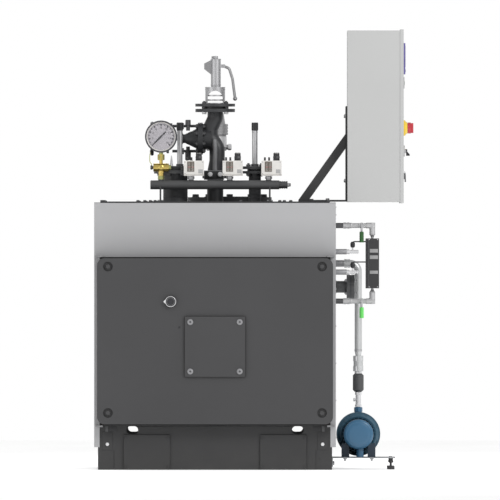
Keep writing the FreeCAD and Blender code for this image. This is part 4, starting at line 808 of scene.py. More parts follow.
class Softener:
    """Rounds the edges of the frame's own nodes a little, so that they catch the light."""

    def __init__(self) -> None:
        """Make the node group that welds a node, drops its stored normals and marks its sharp edges."""
        self.group = bpy.data.node_groups.new("smooth_by_angle", "GeometryNodeTree")
        self.group.interface.new_socket("Geometry", in_out="INPUT", socket_type="NodeSocketGeometry")
        self.group.interface.new_socket("Geometry", in_out="OUTPUT", socket_type="NodeSocketGeometry")
        links = self.group.links
        run = [
            add_node(self.group, "NodeGroupInput"),
            add_node(self.group, "GeometryNodeRemoveAttribute", {}, {"Name": "custom_normal"}),
            add_node(self.group, "GeometryNodeMergeByDistance", {}, {"Distance": 0.00001}),
            add_node(self.group, "GeometryNodeSetShadeSmooth"),
            add_node(self.group, "GeometryNodeSetShadeSmooth", {"domain": "EDGE"}, {"Shade Smooth": False}),
            add_node(self.group, "NodeGroupOutput"),
        ]
        for near, far in zip(run, run[1:]):
            links.new(near.outputs[0], far.inputs[0])
        angle = add_node(self.group, "GeometryNodeInputMeshEdgeAngle").outputs["Unsigned Angle"]
        test = {0: angle, 1: SMOOTH_ANGLE}
        sharp = add_node(self.group, "FunctionNodeCompare", {"operation": "GREATER_THAN"}, test)
        links.new(sharp.outputs[0], run[-2].inputs["Selection"])

    def soften(self, node: str, width: float) -> None:
        """Weld, smooth and bevel a node with modifiers.

        Args:
            node: the node's name.
            width: the bevel's width in millimetres; 0 leaves the edges sharp.
        """
        item = frame["nodes"][node]
        item.modifiers.new("smooth", "NODES").node_group = self.group
        if width:
            bevel = item.modifiers.new("bevel", "BEVEL")
            bevel.width = width / METRE
            bevel.segments = 2
            bevel.limit_method = "ANGLE"
            bevel.angle_limit = BEVEL_ANGLE
            bevel.use_clamp_overlap = True
        even = item.modifiers.new("even", "WEIGHTED_NORMAL")
        even.keep_sharp = True
        even.weight = 100


SOFTENER = Softener()


def dress(finish: Finish, width: float, *nodes: str) -> None:
    """Give nodes of the frame a finish and softened edges.

    Args:
        finish: their finish.
        width: the width of their bevels, in millimetres.
        nodes: their names.
    """
    for node in nodes:
        materials = frame["nodes"][node].data.materials
        materials.clear()
        materials.append(finish.material())
        SOFTENER.soften(node, width)
        LOG.info("%s: dressed in %s", node, finish.name)


# --- Sub-assemblies


@dataclass
class BaseFrame:
    """The base frame: its panels, its covers with their bolts, and the tie brackets at its corners."""

    bolt: float = 10.0
    hole: float = 5.5
    bolt_offset: float = 501.0
    bolt_level: float = 119.0
    hole_offset: float = 487.0
    hole_level: float = 50.0
    cover_bolt: float = 6.0
    cover_bolt_levels: tuple[float, ...] = (14.0, 149.0)
    cover_width: float = 215.0
    cover_inset: float = 8.0
    cover_depth: float = 10.0
    bracket_reach: tuple[float, float] = (478.0, 524.0)
    tab_reach: tuple[float, float] = (497.0, 511.0)
    shadow_reach: tuple[float, float] = (456.0, 494.0)
    weld_offset: float = 470.0
    lip_reach: float = 536.0

    def build(self) -> None:
        """Dress the frame and add what is bolted to it."""
        dress(FRAME_GRAPHITE, 1.0, "base_front_panel", "base_rear_panel", "base_rails")
        dress(COVER_GRAPHITE, 1.5, "fork_covers")
        for name, panel, way, axis in (
            ("front", "base_front_panel", -1, Axis.FRONT),
            ("rear", "base_rear_panel", 1, Axis.BACK),
        ):
            box = box_of(panel)
            face = box.low.y if way < 0 else box.high.y
            fittings = Forge(f"base_fittings_{name}")
            for side in SIDES:
                fittings.bolt(BRIGHT, (side * self.bolt_offset, face, self.bolt_level), axis, self.bolt)
                # A thin black disc stands in for each hole: painted shade of its inside.
                spot = (side * self.hole_offset, face, self.hole_level)
                fittings.lathe(BLACK_STEEL, spot, axis, [(0, self.hole), (0.4, self.hole)], 16)
            for x in self._cover_bolts():
                for z in self.cover_bolt_levels:
                    place = (x, face + way * self.cover_depth, z)
                    fittings.bolt(COVER_GRAPHITE, place, axis, self.cover_bolt)
            fittings.done()
            self._brackets(name, face, way)
            self._seams(name, face, way)

    def _cover_bolts(self) -> list[float]:
        """Return where the fork covers' bolts stand across the panel."""
        end = box_of("fork_covers").high.x
        edges = (end - self.cover_inset, end - self.cover_width + self.cover_inset)
        return [side * edge for side in SIDES for edge in edges]

    def _brackets(self, name: str, face: float, way: int) -> None:
        """Add the tie brackets at the panel's ends, the tab above each and a black sheet of painted shadow."""
        bracket = Forge(f"tie_brackets_{name}")
        plates = (
            (FRAME_GRAPHITE, self.bracket_reach, 2.6, (93, 177), 0.8),
            (HEADER_PAINT, self.tab_reach, 2.6, (177, 205), 0.8),
            # The thin black sheet is painted shadow beside the tab.
            (BLACK_STEEL, self.shadow_reach, 0.8, (178, 209), 0.2),
        )
        for side in SIDES:
            for finish, reach, thick, levels, bevel in plates:
                ends = sorted(side * x for x in reach)
                near, far = sorted((face, face + way * thick))
                bracket.block(finish, (ends[0], near, levels[0]), (ends[1], far, levels[1]), bevel)
        bracket.done()

    def _seams(self, name: str, face: float, way: int) -> None:
        """Add the folded lip along the panel's top and the weld beads beside the covers."""
        lip = Forge(f"base_lip_{name}")
        near, far = sorted((face, face + way * 2.0))
        lip.block(FRAME_GRAPHITE, (-self.lip_reach, near, 206), (self.lip_reach, far, 209.5), 0.8)
        bead = face + 0.7 if way > 0 else face
        for side in SIDES:
            x = side * self.weld_offset
            lip.block(FRAME_GRAPHITE, (x - 1.2, near, 0.5), (x + 1.2, bead, 92), 0.3)
        lip.done()


@dataclass
class Casing:
    """The bright casing with its screws and seams, the boiler's body and the flue spigot."""

    screw: float = 4.0
    pitch: float = 172.8
    tubes: int = 24
    tube_circle: float = 290.0
    flue_circle: float = 114.0

    def build(self) -> None:
        """Dress the sheets and add their screws."""
        dress(SILVER, 0.9, "casing_left", "casing_right", "casing_rear")
        dress(BAND_SILVER, 0.9, "casing_front_band")
        dress(SOOT, 1.0, "boiler_body")
        dress(BLACK_STEEL, 1.0, "flue_spigot")
        self._side_screws()
        self._rear_screws()
        self._flue()
        self._furnace()

    def _screw(self, forge: Forge, place: Sequence[float], axis: Axis) -> None:
        """Add a sheet screw's head."""
        forge.lathe(ZINC, place, axis, [(0, self.screw), (1.6, self.screw), (2.4, self.screw * 0.7)], 16)

    def _side_screws(self) -> None:
        """Add the right side's sheet screws and seam strip; the left stands flat against a wall."""
        box = box_of("casing_right")
        x = box.high.x
        screws = Forge("casing_screws_right")
        edges = (box.low.y + 18, box.high.y - 14)
        spots = [(y, 150.0 + step * self.pitch) for y in edges for step in range(7)]
        spots += [(box.low.y + 90 + step * (box.size.y - 180) / 7, 1222.0) for step in range(8)]
        for y, z in spots:
            self._screw(screws, (x, y, z), Axis.RIGHT)
        seam = box.middle.y + 60
        screws.block(SILVER, (x, seam - 9, 108), (x + 0.8, seam + 9, 1240), 0.2)
        screws.done()

    def _rear_screws(self) -> None:
        """Add the screws round the rear sheet and its stiffening seam."""
        box = box_of("casing_rear")
        screws = Forge("casing_screws_rear")
        for z in (box.low.z + 20, box.high.z - 20):
            for step in range(7):
                x = box.low.x + 40 + step * (box.size.x - 80) / 6
                self._screw(screws, (x, box.high.y, z), Axis.BACK)
        for x in (box.low.x + 14, box.high.x - 14):
            for step in range(6):
                z = box.low.z + 60 + step * (box.size.z - 120) / 5
                self._screw(screws, (x, box.high.y, z), Axis.BACK)
        screws.done()

    def _flue(self) -> None:
        """Add the bolts of the flue collar and the bead at the spigot's mouth."""
        box = box_of("flue_spigot")
        centre = (box.middle.x, box.low.y, box.middle.z)
        flue = Forge("flue_fittings")
        flue.bolt_ring(ZINC, (centre[0], box.low.y + 6, centre[2]), Axis.BACK, self.flue_circle, 8, 8)
        bead = [(128, 100.0), (132, 103.0), (136, 103.0), (139.5, 100.0)]
        flue.tubular(BLACK_STEEL, centre, Axis.BACK, bead, 64)
        flue.done()

    def _furnace(self) -> None:
        """Line the furnace mouth with its seal ring, and rim the smoke tubes."""
        body = box_of("boiler_body")
        centre = Vector((0, body.low.y, FURNACE_LEVEL))
        ring = Forge("furnace_rings")
        section = [(-0.4, 190.5), (2.6, 190.5), (2.6, 204.0), (-0.4, 204.0)]
        ring.tubular(REFRACTORY, centre, Axis.FRONT, section, 96)
        rim = [(-0.3, 22.2), (1.8, 22.2), (1.2, 26), (-0.3, 27)]
        for place in around(centre, Axis.FRONT, self.tube_circle, self.tubes, 0.0):
            ring.tubular(DARK_STEEL, place, Axis.FRONT, rim, 32)
        ring.done()


@dataclass
class FurnaceDoor:
    """The front door: its leaf, lining, blind plate, sight glass and hinge lugs."""

    bolt: float = 14.0
    bolt_offset: float = 115.0
    corner_offset: float = 498.0
    corner_levels: tuple[float, float] = (265.0, 946.0)
    plug: Point = (-166.0, 0.0, 663.0)
    seal_inset: float = 40.0
    seal_width: float = 12.0

    def build(self) -> None:
        """Dress the door and add what shows on both of its faces."""
        dress(GRAPHITE, 2.5, "front_door")
        dress(GRAPHITE, 0.0, "burner_plate")
        dress(REFRACTORY, 4.0, "door_lining")
        dress(DARK_STEEL, 1.2, "sight_glass")
        dress(HINGE_GREY, 0.8, "door_hinges")
        self._plate()
        self._corners()
        self._sight()
        self._back()

    def _plate(self) -> None:
        """Add the blind plate's four bolts and its gasket edge, which is also the plate's painted shadow edge."""
        plate = box_of("burner_plate")
        bolts = Forge("burner_plate_bolts")
        for x in SIDES:
            for z in SIDES:
                place = plate.middle + Vector((x, 0, z)) * self.bolt_offset
                place.y = plate.low.y
                bolts.bolt(DULL_ZINC, place, Axis.FRONT, self.bolt, tall=0.48)
                # A dark disc on the head stands in for its socket: painted shade of the recess.
                bolts.lathe(DARK_STEEL, place, Axis.FRONT, [(5.2, 5.5), (5.7, 5.0)], 24)
        bolts.done(Body.FRONT_DOOR)
        # A real gasket, made dark and set out round the plate so that it is also painted shadow at the plate's
        # edge.
        gasket = Forge("burner_gasket")
        low, high = plate.low, plate.high
        gasket.block(
            SOOT, (low.x - 1.2, high.y - 2.2, low.z - 1.2), (high.x + 1.2, high.y - 0.2, high.z + 1.2), 0.4
        )
        gasket.done(Body.FRONT_DOOR)

    def _corners(self) -> None:
        """Add the closing nut that sits in each corner dimple."""
        door = box_of("front_door")
        nuts = Forge("door_closing_nuts")
        for side in SIDES:
            for z in self.corner_levels:
                floor = (side * self.corner_offset, door.low.y + 10, z)
                nuts.lathe(GRAPHITE, floor, Axis.FRONT, [(0, 17), (1.8, 17)], 24)
                nuts.lathe(GRAPHITE, floor, Axis.FRONT, [(1.8, 12), (8, 12), (9.4, 10.4)], 6, 0.3)
        nuts.done(Body.FRONT_DOOR)

    def _sight(self) -> None:
        """Add the sight glass's pane, its swinging cover lug at the left and the small test plug."""
        box = box_of("sight_glass")
        x, z = box.middle.x, box.middle.z
        sight = Forge("sight_glass_fittings")
        sight.lathe(SCREEN, (x, box.high.y - 5, z), Axis.FRONT, [(0, 15), (2, 15)], 32)
        ring = [(12.0, 16.0), (15.2, 16.2), (15.9, 17.4), (15.9, 23.0), (15.0, 25.0), (12.0, 25.0)]
        sight.tubular(BRIGHT, (x, box.high.y, z), Axis.FRONT, ring, 48)
        lug = [(x - 21, z + 11), (x - 31, z + 4), (x - 33, z), (x - 31, z - 4), (x - 21, z - 11)]
        sight.sheet(BRIGHT, [(a, box.high.y - 14, b) for a, b in lug], (0, 13.5, 0))
        sight.done(Body.FRONT_DOOR)
        plug = Forge("door_test_plug")
        place = (self.plug[0], box.high.y, self.plug[2])
        plug.lathe(BLACK_STEEL, place, Axis.FRONT, [(0, 5), (1.2, 4.4)], 20)
        plug.done(Body.FRONT_DOOR)

    def _back(self) -> None:
        """Add the seal rope and the lining's rim on the door's back."""
        door = box_of("front_door")
        back = Forge("door_seal")
        y = door.high.y
        inner = self.seal_inset + self.seal_width
        outer, opening = (
            ((door.low.x + inset, door.low.z + inset), (door.high.x - inset, door.high.z - inset))
            for inset in (self.seal_inset, inner)
        )
        for low, high in strips(outer, opening):
            back.block(REFRACTORY, (low[0], y - 0.5, low[1]), (high[0], y + 3.0, high[1]), 1.2)
        rim = [(-0.4, 171), (2.8, 171), (2.8, 240), (-0.4, 240)]
        back.tubular(REFRACTORY, (0, y, FURNACE_LEVEL), Axis.BACK, rim, 72)
        back.done(Body.FRONT_DOOR)


@dataclass
class TopDeck:
    """The top plate and the inspection cover, with their bolts."""

    plate_bolt: float = 8.0
    inset: float = 16.0
    columns: tuple[float, ...] = (-527, -359, -327, -301, -279, -120, 120, 302, 323, 353, 527)
    cover_bolts: int = 10
    cover_circle: float = 168.0

    def build(self) -> None:
        """Dress both plates and bolt them down."""
        dress(BLACK_STEEL, 0.8, "top_plate")
        dress(BLACK_STEEL, 1.6, "inspection_cover")
        plate = box_of("top_plate")
        bolts = Forge("top_plate_bolts")
        for x in self.columns:
            for y in (plate.low.y + self.inset, plate.high.y - self.inset):
                bolts.bolt(DARK_STEEL, (x, y, plate.high.z), Axis.UP, self.plate_bolt)
        for step in range(7):
            y = plate.low.y + 120 + step * (plate.size.y - 240) / 6
            for x in (plate.low.x + self.inset, plate.high.x - self.inset):
                if not (x > 0 and y < 0):
                    bolts.bolt(DARK_STEEL, (x, y, plate.high.z), Axis.UP, self.plate_bolt)
        bolts.done()
        cover = box_of("inspection_cover")
        top = (cover.middle.x, cover.middle.y, cover.high.z)
        studs = Forge("inspection_cover_nuts")
        studs.bolt_ring(BLACK_STEEL, top, Axis.UP, self.cover_circle, self.cover_bolts, 17)
        studs.lathe(BLACK_STEEL, top, Axis.UP, [(0, 120), (3, 118)], 64)
        studs.done()


SWITCH_NAMES = ("left", "middle", "right")


@dataclass
class Header:
    """The steam header with its bosses, end fittings and feet."""

    height: float = 78.0
    end_rings: tuple[float, ...] = (302.0, 312.0, 322.0, 332.0)
    foot_offset: float = 255.0
    stem_offset: float = 13.5

    def build(self) -> None:
        """Dress the header and add its rings, feet and end cap."""
        dress(HEADER_PAINT, 0.8, "steam_header")
        box = box_of("steam_header")
        y = box_of("pressure_switch_middle").middle.y
        z = box_of("top_plate").high.z + self.height
        fittings = Forge("header_fittings")
        left = (-300, y, z)
        fittings.lathe(HEADER_PAINT, left, Axis.LEFT, [(-1, 21.6), (1.5, 20.8), (2.2, 18)], 40)
        for x in self.end_rings:
            fittings.lathe(
                DARK_STEEL, (x, y, z), Axis.RIGHT, [(0, 17.0), (1, 18.2), (4, 18.2), (5, 17.0)], 32
            )
        fittings.lathe(
            ZINC, (box.high.x - 15, y, z), Axis.RIGHT, [(0, 9), (8, 9), (9, 7.4), (14.6, 7.4)], 6
        )
        for side in SIDES:
            x = side * self.foot_offset
            fittings.block(HEADER_PAINT, (x - 14, y - 24, DECK), (x + 14, y + 24, DECK + 4), 1)
            for offset in (-9, 9):
                fittings.bolt(ZINC, (x + offset, y - 16, DECK + 4), Axis.UP, 5)
        stems = [box_of(f"pressure_switch_{name}").middle.x - self.stem_offset for name in SWITCH_NAMES]
        for x in [box_of("pressure_gauge").middle.x] + stems:
            ring = [(20.2, 13.2), (20.8, 15.4), (22.6, 13.2)]
            fittings.tubular(HEADER_PAINT, (x, y, z), Axis.UP, ring, 32)
        fittings.done()


@dataclass
class LevelPots:
    """The two level pots, with their flanges bolted and their electrode heads capped."""

    cap_ribs: int = 14
    cap_offset: float = 20.5
    left_circle: float = 80.0
    right_circle: float = 42.5

    def build(self) -> None:
        """Dress the pots and heads, and add bolts, caps and rings."""
        dress(POT_IRON, 1.2, "level_pot_left", "level_pot_right")
        dress(STAINLESS, 0.8, "level_electrode_left", "level_electrode_right")
        self._left()
        self._right()

    def _cap(self, forge: Forge, x: float, y: float, top: float) -> None:
        """Add an electrode's ribbed black cap and the hexagon at its foot."""
        ribs = [(-37.5, 13.4), (-37.5, 14.6), (-34, 14.9), (0.0, 14.7), (0.6, 13.2), (0.6, 5)]
        forge.lathe(BLACK_PLASTIC, (x, y, top), Axis.UP, ribs, 40)
        for place in around((x, y, top), Axis.UP, 14.6, self.cap_ribs, 0.0):
            forge.lathe(BLACK_PLASTIC, place, Axis.UP, [(-34, 0.9), (-4, 0.9)], 6)
        forge.lathe(STAINLESS, (x, y, top - 48), Axis.UP, [(0, 13.2), (8, 13.2), (10, 12)], 6)

    def _left(self) -> None:
        """Finish the left pot: flange bolts, the head's dark disc, the cap and the rings."""
        pot = box_of("level_pot_left")
        head = box_of("level_electrode_left")
        x, y = pot.middle.x, pot.middle.y
        made = Forge("level_pot_left_fittings")
        made.bolt_ring(DARK_STEEL, (x, y, pot.high.z), Axis.UP, self.left_circle, 8, 12, 4)
        made.bolt_ring(DARK_STEEL, (x, y, pot.high.z - 15), Axis.DOWN, self.left_circle, 8, 12)
        disc = [(0, 60.6), (19.4, 60.6), (20.2, 58), (20.2, 20)]
        made.lathe(POT_IRON, (x, y, pot.high.z), Axis.UP, disc, 64)
        self._cap(made, x + self.cap_offset, y, head.high.z)
        foot = (x + self.cap_offset, y, pot.high.z + 19)
        made.lathe(DARK_STEEL, foot, Axis.UP, [(0, 17), (9, 17), (11, 15)], 6)
        for level in (22, 60):
            made.tubular(POT_IRON, (x, y, DECK + level), Axis.UP, [(-2, 57), (0, 58.6), (2, 57)], 64)
        made.done()

    def _right(self) -> None:
        """Finish the right pot: its flange pair's bolts, the dark cladding of the pair and the cap."""
        pot = box_of("level_pot_right")
        head = box_of("level_electrode_right")
        x, y = pot.middle.x, pot.middle.y
        low, high = pot.high.z, pot.high.z + 9
        made = Forge("level_pot_right_fittings")
        made.lathe(POT_IRON, (x, y, low), Axis.UP, [(0, 35.5), (9, 35.5)], 48)
        upper = [(-0.3, 59.3), (12.3, 59.3), (13, 57.5), (13, 20)]
        made.lathe(POT_IRON, (x, y, high), Axis.UP, upper, 64)
        made.bolt_ring(DARK_STEEL, (x, y, high + 12), Axis.UP, self.right_circle, 4, 12, 5)
        made.bolt_ring(DARK_STEEL, (x, y, low - 12), Axis.DOWN, self.right_circle, 4, 12, 3)
        for place in around((x, y, low), Axis.UP, self.right_circle, 4):
            made.lathe(DARK_STEEL, place, Axis.UP, [(-1, 5.4), (10, 5.4)], 12)
        self._cap(made, x, y, head.high.z)
        made.lathe(DARK_STEEL, (x, y, high + 12), Axis.UP, [(0, 18), (10, 18), (12, 16)], 6)
        for level in (18, 34, 78):
            made.tubular(POT_IRON, (x, y, DECK + level), Axis.UP, [(-2, 28.2), (0, 30.2), (2, 28.2)], 48)
        made.done()


@dataclass
class SteamValve:
    """The riser, the stop valve with its bonnet and yoke, and its handwheel."""

    flange_circle: float = 72.5
    riser_circle: float = 48.0
    bonnet_circle: float = 62.0
    bonnet_level: float = 1544.0
    yoke_offset: float = 58.6
    pillar_x: float = -127.0
    pillar_offset: float = 37.0
    rib_width: float = 10.5

    def build(self) -> None:
        """Dress the valve and add its bolts, the rib with its painted highlight, and the gland."""
        dress(VALVE_IRON, 1.6, "steam_riser", "steam_valve_body")
        dress(VALVE_IRON, 1.2, "steam_valve_bonnet")
        dress(BLACK_STEEL, 0.8, "steam_valve_handwheel")
        self._flanges()
        self._rib()
        self._bonnet()

    def _flanges(self) -> None:
        """Bolt the top flange pair and the riser's flange pair."""
        top = box_of("safety_valve").low.z
        body = box_of("steam_valve_body")
        riser = box_of("steam_riser")
        y = riser.middle.y
        made = Forge("valve_flange_bolts")
        made.bolt_ring(DARK_STEEL, (0, y, top + 5.5 + 13), Axis.UP, self.flange_circle, 4, 11, 3)
        made.bolt_ring(BRIGHT, (0, y, body.high.z - 5.5 - 15), Axis.DOWN, self.flange_circle, 4, 11.5)
        for place in around((0, y, body.high.z - 6), Axis.UP, self.flange_circle, 4):
            made.lathe(DARK_STEEL, place, Axis.UP, [(-1, 6), (12.5, 6)], 12)
        made.bolt_ring(ZINC, (0, y, riser.high.z + 14), Axis.UP, self.riser_circle, 8, 7, 2)
        made.done()

    def _rib(self) -> None:
        """Add the casting's raised front rib as a painted highlight, and the dark foot plate with its two light
        bolts.
        """
        riser = box_of("steam_riser")
        y = riser.middle.y
        rib = Forge("valve_rib_highlight")
        line = [(-1, -34, 1396), (-1, -34, 1430), (0, -34.5, 1490), (-3, -34, 1524), (-4, -30, 1537)]
        # The rib's light colour is a painted highlight.
        rib.tube(VALVE_RIB_HIGHLIGHT, [(a, y + b, c) for a, b, c in line], self.rib_width, 20)
        rib.block(BLACK_STEEL, (-53, y - 66, 1351), (42, y - 34, 1395), 3)
        for x in (-23, 23):
            rib.lathe(VALVE_IRON, (x, y - 66, 1377), Axis.FRONT, [(0, 16), (3, 16), (4, 15)], 32)
            rib.bolt(BRIGHT, (x, y - 70, 1377), Axis.FRONT, 11)
        rib.done()

    def _bonnet(self) -> None:
        """Add the bonnet flange's studs, the gland, the yoke's nuts and boss, and the two dark pillars."""
        bonnet = box_of("steam_valve_bonnet")
        y, z = bonnet.middle.y, self.bonnet_level
        made = Forge("bonnet_fittings")
        face = bonnet.high.x - 15
        made.bolt_ring(DARK_STEEL, (face, y, z), Axis.LEFT, self.bonnet_circle, 8, 12, 4)
        made.bolt_ring(DARK_STEEL, (-58, y, z), Axis.RIGHT, self.bonnet_circle, 8, 12, 3)
        made.lathe(VALVE_IRON, (-150, y, z), Axis.LEFT, [(0, 26), (8, 26), (9, 24), (18, 18)], 32)
        made.lathe(DARK_STEEL, (-164, y, z), Axis.LEFT, [(0, 17), (14, 17)], 6)
        for side in SIDES:
            level = z + side * self.yoke_offset
            made.lathe(DARK_STEEL, (-216, y, level), Axis.LEFT, [(0, 10), (10, 10), (12, 8)], 6)
            made.block(BLACK_STEEL, (-172, y - 12, level - 15), (-146, y + 12, level + 15), 3)
        made.lathe(VALVE_IRON, (-208, y, z), Axis.LEFT, [(0, 19), (17, 19)], 32)
        upper = [(0, 9), (24, 9), (25, 12.5), (49, 12.5), (51, 10)]
        lower = [(0, 9), (20, 9), (21, 13.5), (62, 13.5), (64, 11)]
        made.lathe(DARK_STEEL, (self.pillar_x, y, z + self.pillar_offset), Axis.UP, upper, 24)
        made.lathe(BLACK_STEEL, (self.pillar_x, y, z - self.pillar_offset), Axis.DOWN, lower, 24)
        made.done()
        wheel = Forge("handwheel_fittings")
        wheel.lathe(DARK_STEEL, (-304, y, z), Axis.LEFT, [(0, 13), (7, 13), (8, 11)], 6)
        wheel.done(Body.HANDWHEEL)


@dataclass
class SafetyValve:
    """The safety valve: its flange, its open cage, its bonnet and its lever."""

    bonnet_x: float = 3.0
    lever_x: float = 38.0
    cheek_sides: tuple[float, float] = (-8.8, 8.0)

    def build(self) -> None:
        """Dress the valve, darken its flange, and add bands, collars, cheeks and pins."""
        dress(SAFETY_SILVER, 1.0, "safety_valve")
        dress(LEVER_STEEL, 0.8, "safety_valve_lever")
        box = box_of("safety_valve")
        y = box_of("steam_riser").middle.y
        base = box.low.z + 5.5
        made = Forge("safety_valve_fittings")
        flange = [(-5.6, 62.8), (-0.1, 62.8), (-0.1, 92.9), (13.1, 92.9), (13.1, 46.5), (-5.6, 46.5)]
        made.tubular(VALVE_IRON, (0, y, base), Axis.UP, flange, 96)
        cage = base + 13
        for level, radius, tall in ((0, 48.5, 4), (66, 47.4, 3), (74, 47.0, 4)):
            band = [(level, radius - 2), (level, radius), (level + tall, radius), (level + tall, radius - 2)]
            made.tubular(SAFETY_SILVER, (0, y, cage), Axis.UP, band, 64)
        top = box.high.z - 14
        for level in (-122, -2):
            collar = [(level - 2, 22.5), (level - 1, 24.4), (level + 2, 24.4), (level + 3, 22.5)]
            made.tubular(SAFETY_SILVER, (self.bonnet_x, y, top), Axis.UP, collar, 48)
        made.lathe(DULL_ZINC, (-7, y, top), Axis.UP, [(0, 10), (12, 10), (13.5, 8)], 6)
        lobe = [(-12, top - 1), (-12, top - 78), (-51.4, top - 47.3), (-51.4, top - 20.7)]
        for side in self.cheek_sides:
            made.sheet(LEVER_STEEL, [(a, y + side, b) for a, b in lobe], (0, 0.8, 0))
        for side, axis in ((-1, Axis.FRONT), (1, Axis.BACK)):
            place = (self.lever_x, y + side * 13, lever_pivot())
            made.lathe(ZINC, place, axis, [(0, 6), (2, 6), (3, 4.5)], 20)
        made.done()


def lever_pivot() -> float:
    """Return the height of the safety lever's pivot, from the joint in the record."""
    for joint in frame["record"]["behaviour"]["joints"]:
        if joint["name"] == "safety_lever_lift":
            return joint["pos_m"][2] * METRE
    raise KeyError("safety_lever_lift")


@dataclass
class PressureGauge:
    """The pressure gauge with its dial, and the brass cock under it."""

    last: int = 16
    step: int = 2
    start_angle: float = 225.0
    sweep: float = 270.0
    ring: float = 60.0
    figure: float = 15.0
    figure_inset: float = 19.0
    divisions: int = 5
    cock_height: float = 159.0

    def build(self) -> None:
        """Dress the case, lay out the dial, and turn the cock's fittings."""
        dress(BEZEL, 1.0, "pressure_gauge")
        dress(BRASS, 1.0, "gauge_cock")
        box = box_of("pressure_gauge")
        self.x, self.z = box.middle.x, box.high.z - box.size.x / 2
        self.dial_y = box.low.y + 8
        self.front = box.low.y
        self._case()
        self._dial()
        self._figures()
        self._cock()

    def _at(self, angle: float, radius: float, lift: float = 0.0) -> Vector:
        """Return a point on the dial from its angle in degrees and radius."""
        turn = math.radians(angle)
        return Vector(
            (self.x + radius * math.cos(turn), self.dial_y - lift, self.z + radius * math.sin(turn))
        )

    def _case(self) -> None:
        """Add the rolled bezel, the pale dial and the glass."""
        made = Forge("gauge_bezel")
        outline = [(-0.2, 67.6), (3.2, 67.9), (4.6, 70.4), (4.2, 73.4), (2.0, 75.0), (-6.0, 75.2), (-6.0, 74.2)]
        section = [(along - 4.6, radius) for along, radius in outline]
        made.tubular(BEZEL, (self.x, self.front, self.z), Axis.FRONT, section, 96)
        made.done()
        face = Forge("gauge_dial")
        middle = (self.x, self.dial_y, self.z)
        face.lathe(DIAL_WHITE, middle, Axis.FRONT, [(-0.5, 68.2), (0.5, 68.2)], 96)
        face.tubular(SCALE_WHITE, middle, Axis.FRONT, [(0.4, 64), (3, 66), (6.5, 68), (0.4, 68)], 96)
        face.done()
        glass = Forge("gauge_glass")
        glass.lathe(CLEAR, (self.x, self.front + 2.4, self.z), Axis.FRONT, [(0, 67.6), (1.2, 67.6)], 96)
        glass.done()

    def _dial(self) -> None:
        """Add the ticks and the pointer at rest on zero."""
        made = Forge("gauge_scale")
        count = self.last * self.divisions
        for index in range(count + 1):
            major = index % (self.step * self.divisions) == 0
            middle = index % self.divisions == 0
            inner = self.ring - (10.0 if major else 7.0 if middle else 4.5)
            wide = 2.8 if major else 1.7 if middle else 0.7
            angle = self.start_angle - self.sweep * index / count
            along = self._at(angle, 1.0) - self._at(angle, 0.0)
            side = Vector((-along.z, 0, along.x)) * wide
            near, far = self._at(angle, inner, 0.5), self._at(angle, self.ring, 0.5)
            made.sheet(INK, [near - side, far - side, far + side, near + side], (0, -0.25, 0))
        made.done()
        needle = Forge("gauge_needle")
        along = self._at(self.start_angle, 1.0) - self._at(self.start_angle, 0.0)
        side = Vector((-along.z, 0, along.x))
        centre = self._at(0, 0, 3.0)
        half = [(55, 0), (40, 2.9), (4, 4.2), (-14, 2.2), (-18, 3.2), (-32, 3.0)]
        whole = half + [(a, -b) for a, b in reversed(half[1:])]
        outline = [centre + along * a + side * b for a, b in whole]
        needle.sheet(INK, outline, (0, -0.8, 0))
        needle.lathe(INK, centre + Vector((0, 2.6, 0)), Axis.FRONT, [(0, 4.4), (4.0, 4.4), (4.6, 3.4)], 32)
        needle.done()

    def _figures(self) -> None:
        """Add the plain numbers round the dial."""
        for value in range(0, self.last + 1, self.step):
            curve = bpy.data.curves.new(f"gauge_figure_{value}", "FONT")
            curve.body = str(value)
            curve.size = self.figure / METRE
            curve.extrude = 0.0001
            curve.align_x = "CENTER"
            curve.align_y = "CENTER"
            curve.materials.append(INK.material())
            figure = bpy.data.objects.new(f"gauge_figure_{value}", curve)
            bpy.context.scene.collection.objects.link(figure)
            angle = self.start_angle - self.sweep * value / self.last
            figure.location = self._at(angle, self.ring - self.figure_inset, 0.7) / METRE
            figure.rotation_euler = (math.pi / 2, 0, 0)
            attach(figure, Body.BOILER.value)

    def _cock(self) -> None:
        """Turn the cock's collars, nut, drain stub and side tube with its knob."""
        cock = box_of("gauge_cock")
        y = cock.middle.y
        x = self.x
        made = Forge("gauge_cock_fittings")
        made.lathe(
            BRASS_GREEN, (x, y, cock.high.z), Axis.DOWN, [(0.2, 13), (2, 16.4), (24, 16.4), (27, 13)], 6
        )
        made.lathe(BRASS_GREEN, (x, y, cock.high.z + 8), Axis.DOWN, [(0, 9.5), (8, 9.5)], 32)
        body_z = DECK + self.cock_height
        shoulder = [(0, 19.6), (16, 19.6), (21, 15), (26, 15)]
        for side, axis in ((-1, Axis.LEFT), (1, Axis.RIGHT)):
            made.lathe(BRASS, (x + side * 10, y, body_z), axis, shoulder, 32)
        made.lathe(BRASS_GREEN, (x + 36, y, body_z), Axis.RIGHT, [(0, 12), (9, 12), (11, 9)], 6)
        made.lathe(BRASS, (x, y, body_z), Axis.FRONT, [(0, 14), (20, 14), (22, 12), (24, 6)], 32)
        made.lathe(BRASS_GREEN, (x, y, cock.low.z), Axis.UP, [(0, 15), (16, 15), (18, 12.4)], 6)
        made.lathe(BRASS, (x, y, body_z - 22), Axis.DOWN, [(0, 13.4), (6, 13.4)], 32)
        knob = [(0, 7), (4, 7), (5, 10), (12, 10), (14, 8)]
        made.lathe(DARK_STEEL, (x - 36, y, body_z), Axis.LEFT, knob, 24)
        made.done()
        tube = Forge("gauge_side_tube")
        line = [(-44, 0, 6), (-46, 0, 18), (-52, 0, 26), (-53, 0, 50), (-50, 0, 70), (-46, 4, 80)]
        tube.tube(BRASS_GREEN, [(x + a, y + b, body_z + c) for a, b, c in line], 1.8)
        tube.lathe(INK, (x - 48, y + 2, body_z + 62), Axis.UP, [(0, 4), (18, 4)], 16)
        tube.done()


